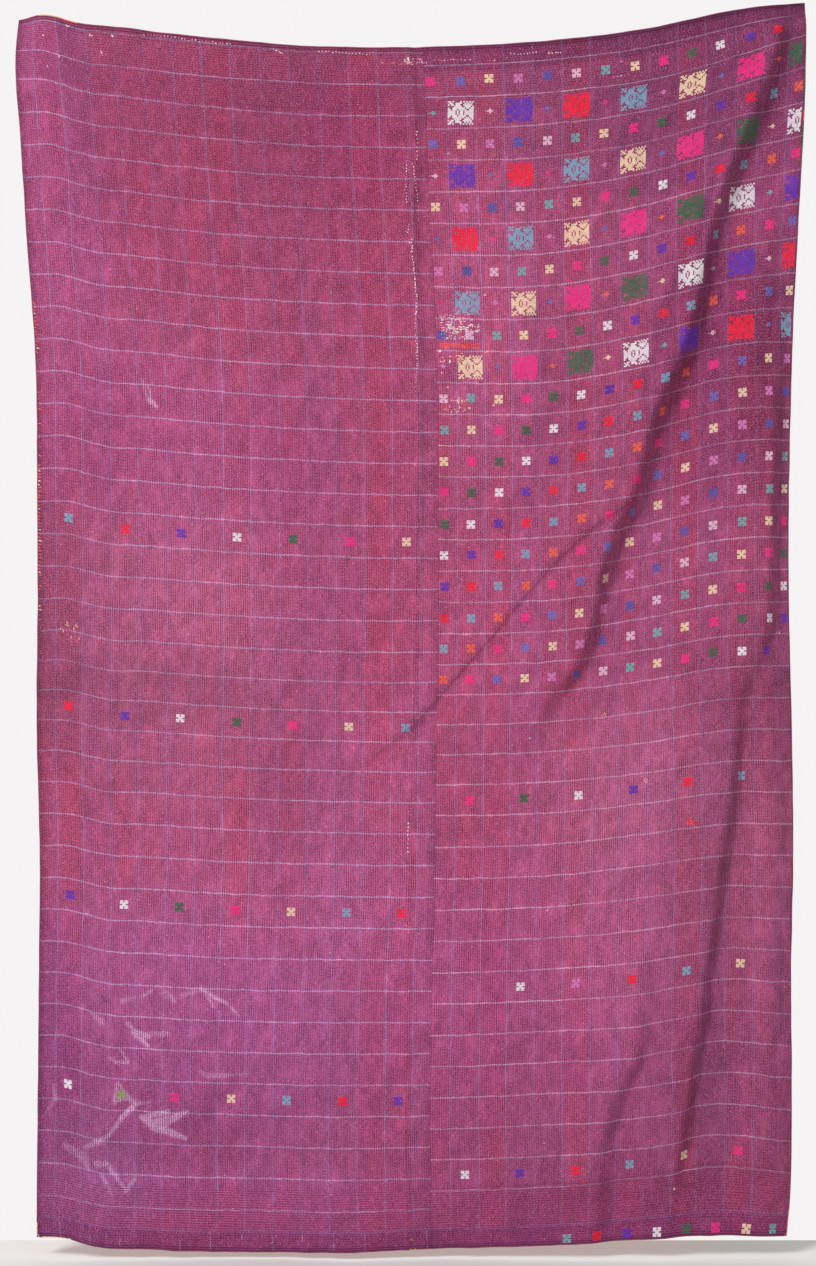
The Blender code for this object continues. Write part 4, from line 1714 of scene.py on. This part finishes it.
def flower_spots(panel, rows, checks):
    """Each flower's place across and down, and its yarn."""
    for row in rows:
        down = panel.first_level + (row.row + 0.5) * checks.down
        for number in range(row.count):
            col = row.first + number * row.step
            across = panel.first_upright + (col - 0.5) * checks.across
            if panel is RIGHT_PANEL and col == 0:
                across = panel.left + FIRST_FLOWER
            yield across, down, row.yarns[(number + row.start) % len(row.yarns)]


def chart_cell(chart, width, tall):
    return width / len(chart[0]), tall / len(chart)


def motif_pair(chart, cell, height):
    """A chart's motif in plain yarn and in full yarn, by whether it is full."""
    return {
        full: motif_mesh(chart, cell, height, FULL_SPREAD if full else SPREAD)
        for full in (False, True)
    }


class QUILT_OT_flowers(bpy.types.Operator):
    """Weaves the small flowers on both panels"""

    bl_idname = "quilt.flowers"
    bl_label = "Small flowers"

    def execute(self, context):
        motif, checks = context.scene.quilt_motif, context.scene.quilt_checks
        cell = chart_cell(FLOWER, motif.small, motif.small)
        flowers = motif_pair(FLOWER, cell, motif.height)
        weaver = Weaver(seed=3)
        spots = [
            *flower_spots(RIGHT_PANEL, RIGHT_FLOWERS, checks),
            *flower_spots(LEFT_PANEL, LEFT_FLOWERS, checks),
        ]
        for number, yarn in enumerate(HEM_YARNS):
            spots.append((HEM_ROW_START + number * HEM_ROW_STEP, HEM_ROW_DOWN, yarn))
        for across, down, yarn in spots:
            across = min(across, WIDTH - EDGE_BARE - motif.small / 2)
            weaver.add(flowers[yarn in FULL_YARNS], across, down, yarn)
        weaver.finish("small_flowers")
        return {"FINISHED"}


class QUILT_OT_medallions(bpy.types.Operator):
    """Weaves the big motifs and the dots between them"""

    bl_idname = "quilt.medallions"
    bl_label = "Big motifs"

    def execute(self, context):
        motif, checks = context.scene.quilt_motif, context.scene.quilt_checks
        cell = chart_cell(MEDALLION, motif.big, motif.big_tall)
        medallions = motif_pair(MEDALLION, cell, motif.height)
        dot_cell = chart_cell(DOT, motif.dot, motif.dot)
        dot = motif_mesh(DOT, dot_cell, motif.height, FULL_SPREAD, tail=DOT_TAIL)
        columns = [
            RIGHT_PANEL.first_upright + (number - 0.5) * checks.across
            for number in range(COLUMNS)
        ]
        columns[0] = RIGHT_PANEL.left + FIRST_DOT
        room = WIDTH - EDGE_BARE - columns[-1] + motif.big / 2
        last_chart = cut_chart(MEDALLION, room, cell)
        last = motif_pair(last_chart, cell, motif.height)
        last_shift = (len(last_chart[0]) - len(MEDALLION[0])) * cell[0] / 2
        weaver = Weaver(seed=8)
        for order, row in enumerate(MEDALLION_ROWS):
            down = RIGHT_PANEL.first_level + (row + 0.5) * checks.down
            for number in range(COLUMNS // 2):
                yarn = MEDALLION_YARNS[(order + number) % len(MEDALLION_YARNS)]
                full = yarn in FULL_YARNS
                across = columns[2 * number + 1]
                if across is columns[-1]:
                    weaver.add(last[full], across + last_shift, down, yarn)
                else:
                    weaver.add(medallions[full], across, down, yarn)
                yarn = DOT_YARNS[(order + number) % len(DOT_YARNS)]
                weaver.add(dot, columns[2 * number], down, yarn)
        weaver.finish("big_motifs")
        return {"FINISHED"}


# ---- Mending, seam and edge stitches ----


NEEDLE_OVER = 0.0006
THREAD_WIDTH = 0.0015
THREAD_HEIGHT = 0.0010
MEND_WIDTH = 0.0023


class Needle:
    """Collects flat stitches in their yarns, and makes them one mesh."""

    def __init__(self, seed):
        self.draw = np.random.default_rng(seed)
        self.bm = bmesh.new()
        self.yarns = []

    def sew(self, start, end, width, height, yarn):
        """One stitch between two places across and down, kept on the cloth."""
        start, end = (
            (min(max(at[0], -NEEDLE_OVER), WIDTH + NEEDLE_OVER), min(max(at[1], 0.001), LENGTH))
            for at in (start, end)
        )
        run = (end[0] - start[0], start[1] - end[1])
        length = math.hypot(*run)
        mesh = stitch_mesh(length, width, height, coarse=True)
        first = len(self.bm.verts)
        self.bm.from_mesh(mesh)
        bpy.data.meshes.remove(mesh)
        self.bm.verts.ensure_lookup_table()
        across, up = run[0] / length, run[1] / length
        middle = ((start[0] + end[0]) / 2, -(start[1] + end[1]) / 2)
        for vert in self.bm.verts[first:]:
            x, y = vert.co.x, vert.co.y
            vert.co.x = x * across - y * up + middle[0]
            vert.co.y = x * up + y * across + middle[1]
        self.yarns.extend([YARN_NAMES.index(yarn)] * 4)

    def line(self, start, end, count, length, width, yarns):
        """A line of uneven stitches from one place to another."""
        start, end = np.array(start), np.array(end)
        run = math.dist(start, end)
        for share in (np.arange(count) + 0.5) / count:
            at = start + (end - start) * share + self.draw.normal(0.0, 0.0007, 2)
            half = length * self.draw.uniform(0.7, 1.2) / 2
            lean = self.draw.normal(0.0, 0.25)
            across, down = (end - start) / run
            step = np.array((across - down * lean, down + across * lean)) * half
            yarn = yarns[self.draw.integers(len(yarns))]
            wide = width * self.draw.uniform(0.8, 1.2)
            self.sew(at - step, at + step, wide, THREAD_HEIGHT, yarn)

    def finish(self, name):
        mesh = bmesh_to_mesh(self.bm, name)
        for yarn, colour in YARNS.items():
            mesh.materials.append(yarn_finish(f"{yarn} sewing thread", colour))
        tint_faces(mesh, self.yarns)
        hang_mesh(mesh, on_face=True)
        return add_piece(name, mesh)


# Lines of coarse mending stitches: where each starts and ends, across and down.
Mend = namedtuple("Mend", "across down to_across to_down count length yarns")
MENDS = named_rows(
    Mend,
    (*[10000] * 4, None, 10000, None),
    7348, 1495, 7335, 2089, 8, 30, "white cream", 7174, 1989, 7102, 2454, 9, 32, "white lilac",
    7102, 2484, 7098, 2881, 7, 32, "blush white", 7255, 2108, 7297, 2664, 9, 30, "cream white",
    7297, 2664, 7321, 2843, 3, 36, "white cream", 7321, 2882, 7300, 3199, 6, 28, "cream blush",
    7134, 3218, 7082, 3426, 4, 36, "white cream", 7161, 3496, 7154, 3773, 5, 34, "white blush",
    7121, 3575, 7123, 3634, 1, 40, "white", 7154, 3812, 7203, 4649, 16, 34, "white cream blush",
    7202, 4669, 7140, 5169, 10, 36, "white lilac blush",
    7160, 5247, 7174, 5709, 9, 38, "cream white", 7074, 5375, 7065, 5572, 4, 48, "orange",
    6885, 5641, 7004, 5631, 2, 56, "orange red", 7168, 5758, 7126, 6054, 6, 30, "blush cream",
    7126, 6093, 7080, 6826, 9, 26, "blush lilac", 7008, 14315, 7020, 14911, 8, 34, "white cream",
    2490, 52, 4092, 74, 26, 32, "white lilac blush",
    4824, 81, 5011, 179, 6, 36, "cream orange white",
    5615, 82, 6646, 132, 17, 32, "blush orange cream",
    7767, 239, 8393, 250, 12, 34, "orange blush orange",
    8695, 295, 8813, 297, 3, 30, "orange cream", 9077, 186, 9576, 195, 9, 30, "blush cream",
    9723, 227, 10016, 232, 6, 30, "cream blush", 10902, 766, 11238, 769, 5, 34, "orange blush",
    756, 19560, 761, 19620, 1, 70, "red",
)

# Places worn through the top layer, where thread ends of other colours show, and single
# knots: the middle, the size, the count, the share that lies level, and the yarns.
Patch = namedtuple("Patch", "across down wide tall count level yarns")
PATCHES = named_rows(
    Patch,
    (10000, 10000, 1000, 1000, None, 100, None),
    604, 11094, 44, 34, 24, 30, "gold orange cream", 228, 10430, 12, 94, 20, 10, "orange red",
    7921, 5110, 62, 46, 70, 80, "cream blush white",
    7838, 5146, 10, 36, 30, 10, "white cream blush",
    8030, 5124, 68, 14, 60, 95, "cream white blush",
    7972, 5449, 74, 9, 120, 95, "orange red orange",
    7809, 5648, 42, 22, 34, 80, "orange red cream", 7597, 5550, 4, 3, 8, 50, "white cream",
    7776, 5746, 3, 5, 8, 20, "white", 8477, 5550, 7, 4, 8, 50, "cream orange",
    7636, 5943, 6, 4, 9, 50, "lilac blush", 7865, 6525, 46, 28, 44, 30, "blush cream orange",
    7725, 6199, 3, 3, 4, 50, "cream blush", 7851, 6615, 3, 3, 5, 50, "cream orange",
    8123, 6574, 4, 3, 5, 50, "blush cream", 8588, 6512, 4, 3, 5, 50, "orange blush",
    8486, 4515, 5, 3, 5, 50, "blush cream", 7214, 217, 12, 14, 18, 30, "white cream lilac",
    7416, 239, 34, 10, 14, 20, "lilac blush", 7057, 285, 60, 6, 12, 90, "orange blush",
    601, 371, 4, 3, 4, 50, "white blush", 1115, 99, 6, 3, 5, 80, "white blush",
    1531, 167, 6, 4, 5, 60, "white blush", 1694, 435, 4, 4, 4, 40, "white blush",
    1915, 145, 6, 3, 5, 60, "white blush", 917, 711, 3, 4, 3, 40, "blush",
    652, 990, 3, 4, 3, 40, "blush", 11074, 528, 4, 3, 4, 50, "pink lilac",
    8712, 1801, 4, 3, 3, 50, "blush", 7912, 1958, 4, 3, 3, 50, "blush",
    12183, 21436, 4, 3, 5, 50, "white", 11560, 13785, 5, 10, 14, 30, "orange cream",
    12404, 14679, 14, 12, 44, 50, "orange red red",
    10775, 12425, 6, 7, 12, 50, "orange cream red", 9698, 16008, 3, 2, 3, 50, "blush cream",
    9322, 12773, 3, 2, 3, 50, "blush cream", 14259, 11301, 8, 4, 7, 80, "gold cream",
    7157, 22040, 6, 4, 5, 50, "gold orange",
)


def patch_stitches(needle, patch):
    """Short thread ends strewn over a patch, some level and the rest upright."""
    yarns = patch.yarns.split()
    for _ in range(patch.count):
        spread = needle.draw.uniform(-0.5, 0.5, 2)
        at = np.array((patch.across, patch.down)) + spread * (patch.wide, patch.tall)
        long = 1.7 if patch.wide > 0.03 else 1.0
        half = needle.draw.uniform(0.0012, 0.0029) * long
        level = needle.draw.uniform() < patch.level
        step = (half, 0.0) if level else (0.0, half)
        yarn = yarns[needle.draw.integers(len(yarns))]
        needle.sew(at - step, at + step, THREAD_WIDTH, THREAD_HEIGHT, yarn)


class QUILT_OT_mending(bpy.types.Operator):
    """Sews the mending stitches, and strews the thread ends of the worn patches"""

    bl_idname = "quilt.mending"
    bl_label = "Mending"

    def execute(self, context):
        needle = Needle(seed=21)
        for mend in MENDS:
            start, end = (mend.across, mend.down), (mend.to_across, mend.to_down)
            needle.line(start, end, mend.count, mend.length, MEND_WIDTH, mend.yarns.split())
        for patch in PATCHES:
            patch_stitches(needle, patch)
        needle.finish("mending")
        return {"FINISHED"}


# Whip stitches over the left edge: their stretches, and the share that is left of them.
Whips = namedtuple("Whips", "start end share")
WHIPS = (
    Whips(0.524, 0.621, 0.95),
    Whips(0.621, 0.822, 0.30),
    Whips(0.822, 1.008, 0.95),
    Whips(1.008, 1.090, 0.40),
)
WHIP_STEP = 0.0062
WHIP_REACH = 0.0085
WHIP_WIDTH = 0.0022
WHIP_HEIGHT = 0.0016
SEAM_STITCH_STEP = 0.009
SEAM_STITCH_WIDTH = 0.0010


class QUILT_OT_edge_stitches(bpy.types.Operator):
    """Sews the whip stitches along the left edge and the slip stitches of the seam"""

    bl_idname = "quilt.edge_stitches"
    bl_label = "Edge and seam stitches"

    def execute(self, context):
        needle = Needle(seed=33)
        for whips in WHIPS:
            for down in np.arange(whips.start, whips.end, WHIP_STEP):
                reach = WHIP_REACH * needle.draw.uniform(0.6, 1.3)
                lean = needle.draw.normal(0.002, 0.0012)
                yarn = "cream" if needle.draw.uniform() < 0.2 else "orange"
                if needle.draw.uniform() < whips.share:
                    start, end = (0.0004, down), (reach, down + lean)
                    needle.sew(start, end, WHIP_WIDTH, WHIP_HEIGHT, yarn)
        for down in np.arange(0.012, LENGTH - 0.010, SEAM_STITCH_STEP):
            lean = needle.draw.normal(0.0016, 0.0006)
            start = (LEFT_WIDTH - 0.0016, down)
            end = (LEFT_WIDTH + 0.0020, down + lean)
            needle.sew(start, end, SEAM_STITCH_WIDTH, THREAD_HEIGHT, "plum")
        needle.finish("edge_and_seam_stitches")
        return {"FINISHED"}


# ---- The stage ----

VIEW_WIDTH = 816
VIEW_HEIGHT = 1266
MIDDLE_PIXEL = 413
SEAM_TOP_PIXEL = 48
FLOOR_PIXEL = 1259
FLOOR_SIZE = 9.0
SENSOR = 24.0


class Sky(Finish):
    """The studio's even light: white behind the quilt, and dimmer in front of it."""

    def __init__(self, backdrop, strength):
        world = bpy.data.worlds.new("studio")
        world.use_nodes = True
        self.tree = world.node_tree
        heading = self.node("ShaderNodeTexCoord").outputs["Generated"]
        ahead = self.number(self.node("ShaderNodeSeparateXYZ", sockets={0: heading}), 1)
        colours = ((1.0, 0.995, 0.985, 1.0), strength), ((*backdrop, 1.0), 1.0)
        front, behind = (
            self.node("ShaderNodeBackground", None, {"Color": colour, "Strength": power})
            for colour, power in colours
        )
        shares = {0: self.ramp(ahead, -0.05, 0.20), 1: front.outputs[0], 2: behind.outputs[0]}
        both = self.node("ShaderNodeMixShader", None, shares)
        self.tree.links.new(both.outputs[0], self.tree.nodes["World Output"].inputs[0])
        bpy.context.scene.world = world


def plain_finish(name, colour, roughness):
    """A painted surface with a faint unevenness."""
    finish = Finish(name, roughness)
    place = finish.node("ShaderNodeTexCoord").outputs["Object"]
    patchy = finish.noise(place, scale=2.2, detail=3.0)
    finish.set_colour(finish.brighten(finish.vector(*colour), 0.985 + 0.03 * patchy))
    return finish.material


def stage_plane(name, corners, material):
    bm = bmesh.new()
    bm.faces.new([bm.verts.new(corner) for corner in corners])
    mesh = bmesh_to_mesh(bm, name)
    mesh.materials.append(material)
    linked(name, mesh)


def area_light(name, place, target, size, power):
    lamp = bpy.data.lights.new(name, "AREA")
    lamp.shape = "RECTANGLE"
    lamp.size, lamp.size_y = size
    lamp.energy = power
    light = linked(name, lamp)
    run = [target[axis] - place[axis] for axis in range(3)]
    light.location = place
    turn = math.atan2(run[0], run[1])
    tilt = math.atan2(run[2], math.hypot(run[0], run[1]))
    light.rotation_euler = (math.pi / 2 + tilt, 0.0, -turn)


class QUILT_OT_stage(bpy.types.Operator):
    """Sets the pale floor, the soft lights and the camera"""

    bl_idname = "quilt.stage"
    bl_label = "Stage"

    def execute(self, context):
        stage = context.scene.quilt_stage
        middle_x = (VIEW_WIDTH / 2 - MIDDLE_PIXEL) * stage.pixel
        middle_z = (SEAM_TOP_PIXEL - VIEW_HEIGHT / 2) * stage.pixel
        floor_z = (SEAM_TOP_PIXEL - FLOOR_PIXEL) * stage.pixel
        half, back = FLOOR_SIZE / 2, stage.floor_gap
        front = back - FLOOR_SIZE
        corners = ((-half, front), (half, front), (half, back), (-half, back))
        corners = [(*corner, floor_z) for corner in corners]
        stage_plane("floor", corners, plain_finish("pale floor", (0.72, 0.71, 0.70), 0.7))
        target = (middle_x, 0.0, middle_z)
        area_light("key", (-5.0, -6.2, 4.9), target, (3.4, 3.4), stage.key_power)
        Sky(tuple(stage.backdrop), stage.sky)
        context.scene.view_settings.view_transform = "Standard"
        camera = bpy.data.cameras.new("camera")
        camera.sensor_fit = "VERTICAL"
        camera.sensor_height = SENSOR
        camera.lens = SENSOR * stage.distance / (VIEW_HEIGHT * stage.pixel)
        view = linked("camera", camera)
        view.location = (middle_x, -stage.distance, middle_z)
        view.rotation_euler = (math.pi / 2, 0.0, 0.0)
        context.scene.camera = view
        return {"FINISHED"}


# ---- The panel in the sidebar, and the run ----

OPERATORS = (
    QUILT_OT_front_left,
    QUILT_OT_front_right,
    QUILT_OT_backing,
    QUILT_OT_edge,
    QUILT_OT_running_stitch,
    QUILT_OT_flowers,
    QUILT_OT_medallions,
    QUILT_OT_mending,
    QUILT_OT_edge_stitches,
    QUILT_OT_stage,
)
GROUPS = {
    "quilt_cloth": QuiltCloth,
    "quilt_checks": QuiltChecks,
    "quilt_stitch": QuiltStitch,
    "quilt_motif": QuiltMotif,
    "quilt_stage": QuiltStage,
}


class QUILT_PT_panel(bpy.types.Panel):
    """Lists the quilt's sizes and colours, and the steps that build it"""

    bl_idname = "QUILT_PT_panel"
    bl_label = "Kantha Quilt"
    bl_space_type = "VIEW_3D"
    bl_region_type = "UI"
    bl_category = "Quilt"

    def draw(self, context):
        for name, group in GROUPS.items():
            box = self.layout.box()
            box.label(text=group.__doc__.split(".")[0])
            for setting in group.__annotations__:
                box.prop(getattr(context.scene, name), setting)
        for operator in OPERATORS:
            self.layout.operator(operator.bl_idname)


def register():
    for cls in (*GROUPS.values(), *OPERATORS, QUILT_PT_panel):
        bpy.utils.register_class(cls)
    for name, group in GROUPS.items():
        setattr(bpy.types.Scene, name, PointerProperty(type=group))


def unregister():
    for name in GROUPS:
        delattr(bpy.types.Scene, name)
    for cls in reversed((*GROUPS.values(), *OPERATORS, QUILT_PT_panel)):
        bpy.utils.unregister_class(cls)


def main():
    register()
    for operator in OPERATORS:
        family, name = operator.bl_idname.split(".")
        getattr(getattr(bpy.ops, family), name)()


if __name__ == "__main__":
    main()
